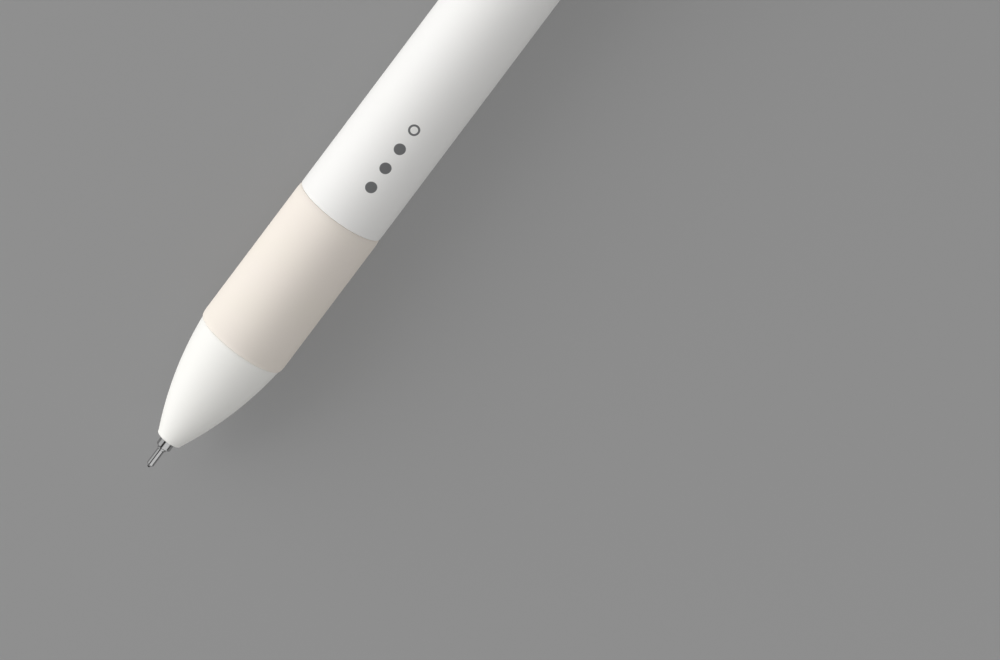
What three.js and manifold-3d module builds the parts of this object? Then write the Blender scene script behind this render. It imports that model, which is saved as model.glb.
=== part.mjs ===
// A multifunction pen: three gel inks and a pencil in one barrel, lying on a table with black extended.
// The pen's axis runs along X and its writing end points to +X. Lengths are in millimetres.
// Places along the pen are measured back from the flat end of the nose, so a place p lies at x = -p.
import * as THREE from 'three';
import { mergeVertices } from 'three/addons/utils/BufferGeometryUtils.js';
import Module from 'manifold-3d';

const wasm = await Module();
wasm.setup();

// Clearances
const SEAM = 0.12;
const FIT = 0.25;
const END_GAP = 0.3;
const FINE_FIT = 0.1;

// Outer shells
const BARREL_RADIUS = 6.75;
const BARREL_WALL = 1.1;
const BARREL_EDGE = 0.3;
const FRONT_BARREL_LENGTH = 44;
const GRIP_LENGTH = 23.4;
const GRIP_PROUD = 0.07;
const GRIP_WALL = 0.92;
const GRIP_FRONT_ROUND = 1.1;
const GRIP_REAR_ROUND = 1.4;
const GRIP_ROUND_DEPTH = 0.24;
const CORE_WALL = 0.8;
const CORE_STEP = 2.6;

// Nose
const NOSE_LENGTH = 17.46;
const NOSE_TIP_RADIUS = 1.78;
const NOSE_STEP = 0.17;
const NOSE_ARC_RADIUS = 52.9;
const NOSE_RIM_ROUND = 0.42;
const NOSE_SPIGOT_LENGTH = 6.5;
const HOLE_CLEARANCE = 0.13;
const HOLE_LAND = 0.5;

// Refills and their points
const REFILL_LENGTH = 67;
const REFILL_RADIUS = 1.175;
const REFILL_BORE_RADIUS = 0.8;
const REFILL_OFFSET = 2.5;
const TRAVEL = 9.5;
const POINT_OUT = 4.84;
const BALL_RADIUS = 0.25;
const POINT_CONE_LENGTH = 0.57;
const NEEDLE_RADIUS = 0.555;
const NEEDLE_LENGTH = 2.54;
const SHOULDER_LENGTH = 0.66;
const BASE_RADIUS = 1.12;
const BASE_LENGTH = 6;
const STEM_LENGTH = 3;
const STEM_RADIUS = 0.66;

// Pencil unit
const PENCIL_OUT = 4.3;
const SLEEVE_RADIUS = 0.4;
const SLEEVE_LENGTH = 2.6;
const PENCIL_CONE_LENGTH = 1.9;
const PENCIL_TIP_LENGTH = 16;
const PENCIL_BORE_RADIUS = 0.93;
const LEAD_RADIUS = 0.25;
const LEAD_CLEARANCE = 0.04;
const LEAD_OUT = 0.35;
const LEAD_LENGTH = 19;
const LEAD_POINT_RADIUS = 0.15;
const LEAD_CLICK = 0.8;
const CHUCK_RADIUS = 0.45;
const CHUCK_HEAD_RADIUS = 0.62;
const CHUCK_HEAD_LENGTH = 1.4;
const CHUCK_LENGTH = 9.6;
const CHUCK_FLANGE_RADIUS = 0.78;
const CHUCK_FLANGE_LENGTH = 0.5;
const CHUCK_STEM_LENGTH = 2.6;
const CLUTCH_RING_LENGTH = 1.1;
const CLUTCH_FIT = 0.08;
const CLUTCH_SPRING_WIRE = 0.18;
const CLUTCH_SPRING_TURNS = 6;

// Guide, plungers and return springs
const THREAD_LENGTH = 8;
const THREAD_RIDGES = 5;
const THREAD_DEPTH = 0.3;
const THREAD_FLANK = 0.6;
const GUIDE_DEPTH = 15;
const GUIDE_PLATE = 3.5;
const GUIDE_WALL = 0.95;
const PLUNGER_RADIUS = 1;
const PLUNGER_PLUG_RADIUS = 0.65;
const PLUNGER_PLUG_LENGTH = 4;
const PLUNGER_STUB_LENGTH = 3;
const SPRING_WIRE = 0.35;
const SPRING_TURNS = 8;
const SPRING_SPACE = 7.5;

// Sliders
const BLOCK_LENGTH = 11;
const BLOCK_WIDTH = 3;
const NECK_SETBACK = 2;
const NECK_LENGTH = 7;
const NECK_WIDTH = 2;
const KNOB_LENGTH = 10;
const KNOB_WIDTH = 3;
const KNOB_HEIGHT = 1.4;
const KNOB_SETBACK = 0.5;
const KNOB_ROUND = 0.45;
const KNOB_RIDGE = 2.2;
const KNOB_SLOPE = 1.6;
const KNOB_DIP = 0.45;

// Clip
const SADDLE_LENGTH = 12;
const SADDLE_WIDTH = 4.2;
const SADDLE_HEIGHT = 1.1;
const CLIP_LENGTH = 43;
const CLIP_WIDTH = 5;
const CLIP_THICKNESS = 1.15;
const CLIP_OVERHANG = 1;
const CLIP_TOE_LENGTH = 7;
const CLIP_TOE_LIFT = 0.35;
const CLIP_PAD_LENGTH = 1.1;
const CLIP_PAD_SLOPE = 0.85;
const CLIP_EDGE = 0.4;

// Latch post, eraser and end cap
const POST_RADIUS = 0.65;
const POST_SEAT = 1.5;
const COLLAR_LENGTH = 2;
const COLLAR_TAPER = 1;
const HOLDER_PLUG = 5;
const NECK_REACH = 5.4;
const ERASER_RADIUS = 2.45;
const ERASER_LENGTH = 9.8;
const CAP_LENGTH = 10;
const CAP_TAPER = 0.4;
const CAP_BORE_RADIUS = 4.85;
const CAP_END_WALL = 1.4;
const CAP_EDGE = 1.2;

// Facets around the axis
const SIDES = 40;
const SMALL_SIDES = 16;
const WIRE_SIDES = 5;
const STEPS_PER_TURN = 8;
const BEND_STEPS = 16;
const ROUND_STEPS = 4;
const BALL_STEPS = 2;
const NOSE_STEPS = 10;

// Radii that follow
const gripRadius = BARREL_RADIUS + GRIP_PROUD;
const noseRearRadius = BARREL_RADIUS - NOSE_STEP;
const capRearRadius = BARREL_RADIUS - CAP_TAPER;
const boreRadius = BARREL_RADIUS - BARREL_WALL;
const insertRadius = boreRadius - END_GAP;
const gripBore = gripRadius - GRIP_WALL;
const coreRadius = gripBore - FIT;
const coreBore = coreRadius - CORE_WALL;
const spigotRadius = coreBore - FIT;
const spigotBore = REFILL_OFFSET + REFILL_RADIUS + FIT;
const holeRadius = BASE_RADIUS + HOLE_CLEARANCE;
const springRadius = PLUNGER_RADIUS + FIT + SPRING_WIRE / 2;
const blockInner = BLOCK_WIDTH / 2 + FIT;
const blockOuter = Math.sqrt((boreRadius - FIT) ** 2 - (BLOCK_WIDTH / 2) ** 2);
const collarRadius = blockInner - FIT;
const knobUnderside = BARREL_RADIUS + FIT;
const knobTop = BARREL_RADIUS + KNOB_HEIGHT;
const holderNeck = CAP_BORE_RADIUS - FIT;

// Places along the pen, back from the end of the nose
const noseRear = NOSE_LENGTH;
const gripFront = noseRear + SEAM;
const gripRear = gripFront + GRIP_LENGTH;
const frontBarrelFront = gripRear + SEAM;
const frontBarrelRear = frontBarrelFront + FRONT_BARREL_LENGTH;
const rearBarrelFront = frontBarrelRear + SEAM;
const guideFront = rearBarrelFront - THREAD_LENGTH;
const guideRear = rearBarrelFront + GUIDE_DEPTH;
const blockFront = guideRear + SPRING_SPACE;
const blockRear = blockFront + BLOCK_LENGTH;
const holderFront = blockRear + TRAVEL + END_GAP;
const rearBarrelRear = holderFront + HOLDER_PLUG;
const capFront = rearBarrelRear + SEAM;
const capRear = capFront + CAP_LENGTH;
const refillRear = REFILL_LENGTH - POINT_OUT;
const needleFront = -POINT_OUT + POINT_CONE_LENGTH;
const needleRear = needleFront + NEEDLE_LENGTH;
const baseFront = needleRear + SHOULDER_LENGTH;
const baseRear = baseFront + BASE_LENGTH;
const stemRear = baseRear + STEM_LENGTH;
const plugFront = refillRear - PLUNGER_PLUG_LENGTH;

// The four stations round the barrel, as angles from the top of the lying pen.
// The blue and red knobs are the two feet that the pen lies on behind its grip.
const STATIONS = [
  { name: 'black', turn: -45, out: true, colour: 0x2b2b2d },
  { name: 'blue', turn: -135, out: false, colour: 0x2f62b5 },
  { name: 'red', turn: 135, out: false, colour: 0xd04a44 },
];
const PENCIL_TURN = 45;

const WHITE = new THREE.MeshStandardMaterial({ color: 0xefeeec, roughness: 0.55, metalness: 0 });
const GRIP = new THREE.MeshStandardMaterial({ color: 0xe4dbd3, roughness: 0.75, metalness: 0 });
const INNER = new THREE.MeshStandardMaterial({ color: 0xd8d9da, roughness: 0.5, metalness: 0 });
const STEEL = new THREE.MeshStandardMaterial({ color: 0xb9bbbe, roughness: 0.25, metalness: 1 });
const BRASS = new THREE.MeshStandardMaterial({ color: 0xb8935a, roughness: 0.35, metalness: 1 });
const RUBBER = new THREE.MeshStandardMaterial({ color: 0xf4f3f1, roughness: 0.9, metalness: 0 });
const LEAD = new THREE.MeshStandardMaterial({ color: 0x3a3a3c, roughness: 0.4, metalness: 0.3 });

function plastic(color) {
  return new THREE.MeshStandardMaterial({ color, roughness: 0.45, metalness: 0 });
}

// One closed body with its faces out, its shared corners merged
function closed(geometry) {
  const bare = geometry.clone();
  bare.deleteAttribute('normal');
  bare.deleteAttribute('uv');
  const merged = mergeVertices(bare, 1e-4);
  const place = merged.getAttribute('position');
  const index = Array.from(merged.getIndex().array);
  const kept = [];
  let volume = 0;
  for (let i = 0; i < index.length; i += 3) {
    const [a, b, c] = index.slice(i, i + 3);
    if (a === b || b === c || c === a) continue;
    const corners = [a, b, c].map((n) => new THREE.Vector3().fromBufferAttribute(place, n));
    volume += corners[0].dot(corners[1].cross(corners[2]));
    kept.push(a, b, c);
  }
  if (volume < 0) kept.reverse();
  merged.setIndex(kept);
  return merged;
}

function solid(geometry) {
  const merged = closed(geometry);
  return new wasm.Manifold(new wasm.Mesh({
    numProp: 3,
    vertProperties: new Float32Array(merged.getAttribute('position').array),
    triVerts: new Uint32Array(merged.getIndex().array),
  }));
}

function geometryOf(manifold) {
  const mesh = manifold.getMesh();
  const geometry = new THREE.BufferGeometry();
  geometry.setAttribute('position', new THREE.BufferAttribute(mesh.vertProperties, 3));
  geometry.setIndex(new THREE.BufferAttribute(mesh.triVerts, 1));
  return geometry;
}

function cut(geometry, cutters) {
  return geometryOf(cutters.reduce((rest, cutter) => rest.subtract(solid(cutter)), solid(geometry)));
}

function joined(pieces) {
  return geometryOf(pieces.slice(1).reduce((whole, piece) => whole.add(solid(piece)), solid(pieces[0])));
}

function common(one, other) {
  return geometryOf(solid(one).intersect(solid(other)));
}

// A turned piece about the pen's axis from [place, radius] points. A tube's outline closes on itself.
function turned(outline, sides = SIDES) {
  const points = outline.map(([place, radius]) => new THREE.Vector2(radius, -place));
  const hollow = outline.every(([, radius]) => radius > 0);
  if (hollow) points.push(points[0].clone());
  return new THREE.LatheGeometry(points, sides).rotateZ(-Math.PI / 2);
}

// A box between two places, two heights above the axis, and centred across
function block(front, rear, low, high, width) {
  const geometry = new THREE.BoxGeometry(rear - front, width, high - low);
  return geometry.translate(-(front + rear) / 2, 0, (low + high) / 2);
}

// A side view of [place, height] points, given its width across
function sideExtrusion(outline, width, round = 0) {
  const shape = new THREE.Shape(outline.map(([place, height]) => new THREE.Vector2(-place, height)));
  const bevel = { bevelThickness: round, bevelSize: round, bevelOffset: -round, bevelSegments: 2 };
  const depth = width - 2 * round;
  const geometry = new THREE.ExtrudeGeometry(shape, { depth, bevelEnabled: round > 0, ...bevel });
  return geometry.translate(0, 0, -depth / 2).rotateX(Math.PI / 2);
}

// A quarter round between two [place, radius] points, bulging outwards from their centre
function quarter(centre, radii, from, to, steps = ROUND_STEPS) {
  return Array.from({ length: steps + 1 }, (_, i) => {
    const angle = THREE.MathUtils.degToRad(from + ((to - from) * i) / steps);
    return [centre[0] - radii[0] * Math.cos(angle), centre[1] + radii[1] * Math.sin(angle)];
  });
}

// The least gap between neighbouring turns of a coil, measured on points of its centre line
function leastGap(curve, turns, wire) {
  const count = turns * STEPS_PER_TURN * 4;
  const points = curve.getPoints(count);
  let least = Infinity;
  for (let i = 0; i < count; i++) {
    for (let j = i + STEPS_PER_TURN * 2; j <= count; j++) {
      least = Math.min(least, points[i].distanceTo(points[j]));
    }
  }
  return least - wire;
}

class Helix extends THREE.Curve {
  constructor(front, rear, radius, turns) {
    super();
    Object.assign(this, { front, rear, radius, turns });
  }

  getPoint(t, target = new THREE.Vector3()) {
    const angle = 2 * Math.PI * this.turns * t;
    const place = this.front + (this.rear - this.front) * t;
    return target.set(-place, this.radius * Math.cos(angle), this.radius * Math.sin(angle));
  }
}

// A coil spring that fills the space from front to rear
function coil(name, front, rear, radius, wire, turns) {
  const curve = new Helix(front + wire / 2, rear - wire / 2, radius, turns);
  console.log(`${name}: least gap between turns ${leastGap(curve, turns, wire).toFixed(2)} mm`);
  const section = new THREE.Shape(
    Array.from({ length: WIRE_SIDES }, (_, i) => {
      const angle = (2 * Math.PI * i) / WIRE_SIDES;
      return new THREE.Vector2((wire / 2) * Math.cos(angle), (wire / 2) * Math.sin(angle));
    }),
  );
  return new THREE.ExtrudeGeometry(section, { steps: turns * STEPS_PER_TURN, extrudePath: curve });
}

const pen = new THREE.Group();

function add(name, geometry, material, parent = pen) {
  const mesh = new THREE.Mesh(closed(geometry), material);
  mesh.name = name;
  parent.add(mesh);
  return mesh;
}

// A group turned round the axis, whose own +Z points out through the barrel
function station(turn) {
  const group = new THREE.Group();
  group.rotation.x = THREE.MathUtils.degToRad(turn);
  pen.add(group);
  return group;
}

const turns = [...STATIONS.map(({ turn }) => turn), PENCIL_TURN];

function atEachStation(make) {
  return turns.map((turn) => make().rotateX(THREE.MathUtils.degToRad(turn)));
}

// Nose: the outside is one arc from the rim to the grip, the inside a funnel that clears every drawn-in point
function noseRadius(place) {
  const chord = Math.hypot(NOSE_LENGTH, noseRearRadius - NOSE_TIP_RADIUS);
  const lean = Math.atan2(noseRearRadius - NOSE_TIP_RADIUS, NOSE_LENGTH);
  const rise = Math.sqrt(NOSE_ARC_RADIUS ** 2 - (chord / 2) ** 2);
  const centrePlace = NOSE_LENGTH / 2 + rise * Math.sin(lean);
  const centreRadius = (NOSE_TIP_RADIUS + noseRearRadius) / 2 - rise * Math.cos(lean);
  return centreRadius + Math.sqrt(NOSE_ARC_RADIUS ** 2 - (place - centrePlace) ** 2);
}

function noseCone() {
  const outside = Array.from({ length: NOSE_STEPS }, (_, i) => {
    const place = NOSE_RIM_ROUND + ((NOSE_LENGTH - NOSE_RIM_ROUND) * (i + 1)) / NOSE_STEPS;
    return [place, noseRadius(place)];
  });
  const rimCentre = [NOSE_RIM_ROUND, noseRadius(NOSE_RIM_ROUND) - NOSE_RIM_ROUND];
  const drawnNeedle = [TRAVEL + needleFront, REFILL_OFFSET + NEEDLE_RADIUS + FINE_FIT];
  const drawnBase = [TRAVEL + baseFront, REFILL_OFFSET + BASE_RADIUS + FINE_FIT];
  return turned([
    ...quarter(rimCentre, [NOSE_RIM_ROUND, NOSE_RIM_ROUND], 0, 90),
    ...outside,
    [noseRear, spigotRadius],
    [noseRear + NOSE_SPIGOT_LENGTH, spigotRadius],
    [noseRear + NOSE_SPIGOT_LENGTH, spigotBore],
    [drawnBase[0] + STEM_LENGTH, spigotBore],
    drawnBase,
    drawnNeedle,
    [HOLE_LAND, holeRadius],
    [0, holeRadius],
  ]);
}

function gripSleeve() {
  const edge = gripRadius - GRIP_ROUND_DEPTH;
  return turned([
    [gripFront, gripBore],
    ...quarter([gripFront + GRIP_FRONT_ROUND, edge], [GRIP_FRONT_ROUND, GRIP_ROUND_DEPTH], 0, 90),
    ...quarter([gripRear - GRIP_REAR_ROUND, edge], [GRIP_REAR_ROUND, GRIP_ROUND_DEPTH], 90, 180),
    [gripRear, gripBore],
  ]);
}

// The front barrel carries the grip on its narrower core and plugs over the nose's spigot
function frontBarrel() {
  const edge = BARREL_RADIUS - BARREL_EDGE;
  return turned([
    [gripFront, coreBore],
    [gripFront, coreRadius],
    [frontBarrelFront, coreRadius],
    ...quarter([frontBarrelFront + BARREL_EDGE, edge], [BARREL_EDGE, BARREL_EDGE], 0, 90, 3),
    [frontBarrelRear, BARREL_RADIUS],
    [frontBarrelRear, boreRadius],
    [frontBarrelFront + CORE_STEP, boreRadius],
    [frontBarrelFront + CORE_STEP / 2, coreBore],
  ]);
}

// The rear barrel has one long slot for each slider's neck
function rearBarrel() {
  const shell = turned([
    [rearBarrelFront, boreRadius],
    [rearBarrelFront, BARREL_RADIUS],
    [rearBarrelRear, BARREL_RADIUS],
    [rearBarrelRear, boreRadius],
  ]);
  const slotFront = blockFront + NECK_SETBACK - END_GAP;
  const slotRear = blockFront + TRAVEL + NECK_SETBACK + NECK_LENGTH + END_GAP;
  const slotWidth = NECK_WIDTH + 2 * END_GAP;
  const slot = () => block(slotFront, slotRear, boreRadius - BARREL_WALL, knobTop, slotWidth);
  return cut(shell, atEachStation(slot));
}

// The guide is pressed in the rear barrel, and the front barrel screws onto its ridged front end
function guide() {
  const pitch = (THREAD_LENGTH - END_GAP) / THREAD_RIDGES;
  const root = insertRadius - THREAD_DEPTH;
  const ridges = Array.from({ length: THREAD_RIDGES }, (_, i) => {
    const front = guideFront + pitch * i;
    return [[front, root], [front + THREAD_FLANK, insertRadius], [front + 2 * THREAD_FLANK, root]];
  });
  const bore = insertRadius - THREAD_DEPTH - GUIDE_WALL + FIT;
  const shell = turned([
    [guideFront - END_GAP, bore],
    [guideFront - END_GAP, root],
    ...ridges.flat(),
    [rearBarrelFront, root],
    [rearBarrelFront + THREAD_DEPTH, insertRadius],
    [guideRear, insertRadius],
    [guideRear, POST_RADIUS + FIT],
    [guideRear - POST_SEAT - END_GAP, POST_RADIUS + FIT],
    [guideRear - POST_SEAT - END_GAP, 0],
    [guideRear - GUIDE_PLATE, 0],
    [guideRear - GUIDE_PLATE, bore],
    [guideFront - END_GAP, bore],
  ]);
  const boreHole = () => turned([
    [guideRear - GUIDE_PLATE - FIT, 0],
    [guideRear - GUIDE_PLATE - FIT, PLUNGER_RADIUS + FIT],
    [guideRear + FIT, PLUNGER_RADIUS + FIT],
    [guideRear + FIT, 0],
  ], SMALL_SIDES).translate(0, 0, REFILL_OFFSET);
  return cut(shell, atEachStation(boreHole));
}

// The steel latch post stands on the axis, with the collar that holds a pushed slider forward
function latchPost() {
  const collarFront = blockRear + END_GAP;
  return turned([
    [guideRear - POST_SEAT, 0],
    [guideRear - POST_SEAT, POST_RADIUS],
    [collarFront, POST_RADIUS],
    [collarFront, collarRadius],
    [collarFront + COLLAR_LENGTH, collarRadius],
    [collarFront + COLLAR_LENGTH + COLLAR_TAPER, POST_RADIUS],
    [holderFront + POST_SEAT - END_GAP, POST_RADIUS],
    [holderFront + POST_SEAT - END_GAP, 0],
  ], SMALL_SIDES);
}

const eraserRear = capRear - CAP_END_WALL - END_GAP;
const eraserFront = eraserRear - ERASER_LENGTH;

function eraserHolder() {
  const socket = ERASER_RADIUS + FIT;
  return turned([
    [holderFront, POST_RADIUS + FIT],
    [holderFront, insertRadius],
    [rearBarrelRear, insertRadius],
    [rearBarrelRear, holderNeck],
    [capFront + NECK_REACH, holderNeck],
    [capFront + NECK_REACH, socket],
    [eraserFront - END_GAP, socket],
    [eraserFront - END_GAP, 0],
    [holderFront + POST_SEAT, 0],
    [holderFront + POST_SEAT, POST_RADIUS + FIT],
    [holderFront, POST_RADIUS + FIT],
  ]);
}

function eraser() {
  return turned([
    [eraserFront, 0],
    [eraserFront, ERASER_RADIUS],
    ...quarter([eraserRear - FIT, ERASER_RADIUS - FIT], [FIT, FIT], 90, 180, 2),
    [eraserRear, 0],
  ], SMALL_SIDES);
}

function endCap() {
  const edge = capRearRadius - CAP_EDGE;
  return turned([
    [capFront, CAP_BORE_RADIUS],
    [capFront, BARREL_RADIUS],
    ...quarter([capRear - CAP_EDGE, edge], [CAP_EDGE, CAP_EDGE], 90, 180),
    [capRear, 0],
    [capRear - CAP_END_WALL, 0],
    [capRear - CAP_END_WALL, CAP_BORE_RADIUS],
    [capFront, CAP_BORE_RADIUS],
  ]);
}

// A slider: an inner block that runs in the bore, a neck through the slot and something outside to push
function sliderBody(outside) {
  const neckFront = blockFront + NECK_SETBACK;
  const body = joined([
    block(blockFront, blockRear, blockInner, blockOuter, BLOCK_WIDTH),
    block(neckFront, neckFront + NECK_LENGTH, blockOuter - FIT, knobUnderside + FIT, NECK_WIDTH),
    outside,
  ]);
  const seat = turned([
    [blockFront - FIT, 0],
    [blockFront - FIT, PLUNGER_PLUG_RADIUS + FINE_FIT],
    [blockFront + PLUNGER_STUB_LENGTH + FINE_FIT, PLUNGER_PLUG_RADIUS + FINE_FIT],
    [blockFront + PLUNGER_STUB_LENGTH + FINE_FIT, 0],
  ], SMALL_SIDES).translate(0, 0, REFILL_OFFSET);
  return cut(body, [seat]);
}

// The knob slopes up to a ridge at its front, where the thumb pushes
function knob() {
  const front = blockFront + KNOB_SETBACK;
  const rear = front + KNOB_LENGTH;
  const low = knobTop - KNOB_DIP;
  return sideExtrusion([
    [front, knobUnderside],
    [front, knobTop - KNOB_ROUND],
    [front + KNOB_ROUND, knobTop],
    [front + KNOB_RIDGE, knobTop],
    [front + KNOB_RIDGE + KNOB_SLOPE, low],
    [rear - KNOB_SLOPE, low],
    [rear, knobUnderside + KNOB_ROUND],
    [rear, knobUnderside],
  ], KNOB_WIDTH);
}

const saddleFront = blockFront + KNOB_SETBACK;
const saddleRear = saddleFront + SADDLE_LENGTH;
const saddleTop = knobUnderside + SADDLE_HEIGHT;

function saddle() {
  return block(saddleFront, saddleRear, knobUnderside, saddleTop, SADDLE_WIDTH);
}

// The clip is a flat arm whose toe bends in until it nearly meets the barrel
function clip() {
  const rear = saddleRear + CLIP_OVERHANG;
  const front = rear - CLIP_LENGTH;
  const under = saddleTop + FIT;
  const over = under + CLIP_THICKNESS;
  const toe = BARREL_RADIUS + END_GAP;
  const padFront = front + (CLIP_TOE_LENGTH - CLIP_PAD_LENGTH) / 2;
  const padRear = padFront + CLIP_PAD_LENGTH;
  const side = sideExtrusion([
    [rear, under],
    [rear, over - CLIP_EDGE],
    [rear - 2 * CLIP_EDGE, over],
    [front + CLIP_TOE_LENGTH, over],
    [front + CLIP_TOE_LENGTH / 2, over - CLIP_TOE_LIFT],
    [front, over + CLIP_TOE_LIFT],
    [front, under + CLIP_TOE_LIFT],
    [padFront - CLIP_PAD_SLOPE, toe + FIT],
    [padFront, toe],
    [padRear, toe],
    [padRear + CLIP_PAD_SLOPE, toe + FIT],
    [front + CLIP_TOE_LENGTH, under],
  ], CLIP_WIDTH + 2 * FIT);
  const plan = new THREE.Shape();
  const half = CLIP_WIDTH / 2;
  plan.moveTo(-rear, -half);
  plan.lineTo(-front - half, -half);
  plan.absarc(-front - half, 0, half, -Math.PI / 2, Math.PI / 2, false);
  plan.lineTo(-rear, half);
  const depth = over - toe + 4 * FIT;
  const above = new THREE.ExtrudeGeometry(plan, { depth, bevelEnabled: false, curveSegments: 10 });
  return common(side, above.translate(0, 0, toe - 2 * FIT));
}

// A plunger plugs into the refill's open end in front and into the slider's block behind
function plunger() {
  const plug = PLUNGER_PLUG_RADIUS;
  return turned([
    [plugFront, 0],
    [plugFront, plug],
    [refillRear + END_GAP, plug],
    [refillRear + END_GAP, PLUNGER_RADIUS],
    [blockFront - END_GAP, PLUNGER_RADIUS],
    [blockFront - END_GAP, plug],
    [blockFront + PLUNGER_STUB_LENGTH - FINE_FIT, plug],
    [blockFront + PLUNGER_STUB_LENGTH - FINE_FIT, 0],
  ], SMALL_SIDES);
}

// A gel point: ball, needle and base of one steel turning, with a stem inside the tube
function gelPoint() {
  const ball = quarter([BALL_RADIUS - POINT_OUT, 0], [BALL_RADIUS, BALL_RADIUS], 0, 90, BALL_STEPS);
  return turned([
    [-POINT_OUT, 0],
    ...ball.slice(1),
    [needleFront, NEEDLE_RADIUS],
    [needleRear, NEEDLE_RADIUS],
    [baseFront, BASE_RADIUS],
    [baseRear, BASE_RADIUS],
    [baseRear, STEM_RADIUS],
    [stemRear, STEM_RADIUS],
    [stemRear, 0],
  ], SMALL_SIDES);
}

// A refill tube: straight when drawn in, and bent in to the pen's axis when its point is out
function refillTube(front, out) {
  const bendFront = stemRear;
  const bendRear = plugFront;
  const spans = out ? BEND_STEPS : 1;
  const places = [front];
  for (let i = 0; i <= spans; i++) {
    places.push(out ? bendFront + ((bendRear - bendFront) * i) / spans : refillRear);
  }
  if (out) places.push(refillRear);
  const rings = [...new Set(places)];
  const outline = [
    ...rings.map((place) => [place, REFILL_RADIUS]),
    ...rings.toReversed().map((place) => [place, REFILL_BORE_RADIUS]),
  ];
  const geometry = turned(outline, SMALL_SIDES);
  const position = geometry.getAttribute('position');
  for (let i = 0; i < position.count; i++) {
    const along = (-position.getX(i) - bendFront) / (bendRear - bendFront);
    const t = THREE.MathUtils.clamp(along, 0, 1);
    const share = out ? t * t * (3 - 2 * t) : 1;
    position.setZ(i, position.getZ(i) + REFILL_OFFSET * share);
  }
  return geometry;
}

// The pencil's front: a thin sleeve, a cone and the housing of the chuck
const pencilTipRear = PENCIL_TIP_LENGTH - PENCIL_OUT;
const sleeveRear = SLEEVE_LENGTH - PENCIL_OUT;
const pencilConeRear = sleeveRear + PENCIL_CONE_LENGTH;
const chuckFront = pencilConeRear + LEAD_CLICK + END_GAP;
const chuckRear = chuckFront + CHUCK_LENGTH;
const leadBore = LEAD_RADIUS + LEAD_CLEARANCE;

function pencilTip() {
  return turned([
    [-PENCIL_OUT, leadBore],
    [-PENCIL_OUT, SLEEVE_RADIUS],
    [sleeveRear, SLEEVE_RADIUS],
    [pencilConeRear, BASE_RADIUS],
    [pencilTipRear, BASE_RADIUS],
    [pencilTipRear, PENCIL_BORE_RADIUS],
    [pencilConeRear, PENCIL_BORE_RADIUS],
    [sleeveRear + PENCIL_CONE_LENGTH / 2, leadBore],
  ], SMALL_SIDES);
}

function chuck() {
  const headRear = chuckFront + CHUCK_HEAD_LENGTH;
  return turned([
    [chuckFront, leadBore],
    [chuckFront, CHUCK_HEAD_RADIUS],
    [headRear - FINE_FIT, CHUCK_HEAD_RADIUS],
    [headRear, CHUCK_RADIUS],
    [chuckRear, CHUCK_RADIUS],
    [chuckRear, CHUCK_FLANGE_RADIUS],
    [chuckRear + CHUCK_FLANGE_LENGTH, CHUCK_FLANGE_RADIUS],
    [chuckRear + CHUCK_FLANGE_LENGTH, STEM_RADIUS],
    [chuckRear + CHUCK_FLANGE_LENGTH + CHUCK_STEM_LENGTH, STEM_RADIUS],
    [chuckRear + CHUCK_FLANGE_LENGTH + CHUCK_STEM_LENGTH, leadBore],
  ], SMALL_SIDES);
}

function clutchRing() {
  const front = chuckFront + FINE_FIT;
  const rear = front + CLUTCH_RING_LENGTH;
  const inner = CHUCK_HEAD_RADIUS + CLUTCH_FIT;
  const outer = PENCIL_BORE_RADIUS - CLUTCH_FIT;
  return turned([[front, inner], [front, outer], [rear, outer], [rear, inner]], SMALL_SIDES);
}

function clutchSpring(name) {
  const front = chuckFront + FINE_FIT + CLUTCH_RING_LENGTH + END_GAP;
  const rear = chuckRear - FINE_FIT;
  const radius = (CHUCK_RADIUS + PENCIL_BORE_RADIUS) / 2;
  return coil(name, front, rear, radius, CLUTCH_SPRING_WIRE, CLUTCH_SPRING_TURNS);
}

function lead() {
  const front = -PENCIL_OUT - LEAD_OUT;
  return turned([
    [front, 0],
    [front, LEAD_POINT_RADIUS],
    [front + LEAD_RADIUS, LEAD_RADIUS],
    [front + LEAD_LENGTH, LEAD_RADIUS],
    [front + LEAD_LENGTH, 0],
  ], SMALL_SIDES);
}

add('nose_cone', noseCone(), WHITE);
add('grip_sleeve', gripSleeve(), GRIP);
add('front_barrel', frontBarrel(), WHITE);
add('rear_barrel', rearBarrel(), WHITE);
add('guide', guide(), INNER);
add('latch_post', latchPost(), STEEL);
add('eraser_holder', eraserHolder(), INNER);
add('eraser', eraser(), RUBBER);
add('end_cap', endCap(), WHITE);

function returnSpring(name, out, group) {
  const rear = blockFront + (out ? 0 : TRAVEL) - END_GAP;
  const front = guideRear + END_GAP;
  const spring = coil(name, front, rear, springRadius, SPRING_WIRE, SPRING_TURNS);
  add(name, spring.translate(0, 0, REFILL_OFFSET), STEEL, group);
}

for (const { name, turn, out, colour } of STATIONS) {
  const group = station(turn);
  const drawn = out ? 0 : -TRAVEL;
  const side = out ? 0 : REFILL_OFFSET;
  const tube = refillTube(baseRear + SEAM, out);
  add(`slider_${name}`, sliderBody(knob()), plastic(colour), group).position.x = drawn;
  add(`plunger_${name}`, plunger(), INNER, group).position.set(drawn, 0, REFILL_OFFSET);
  add(`gel_point_${name}`, gelPoint(), STEEL, group).position.set(drawn, 0, side);
  add(`gel_tube_${name}`, tube, plastic(colour), group).position.x = drawn;
  returnSpring(`spring_${name}`, out, group);
}

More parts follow.
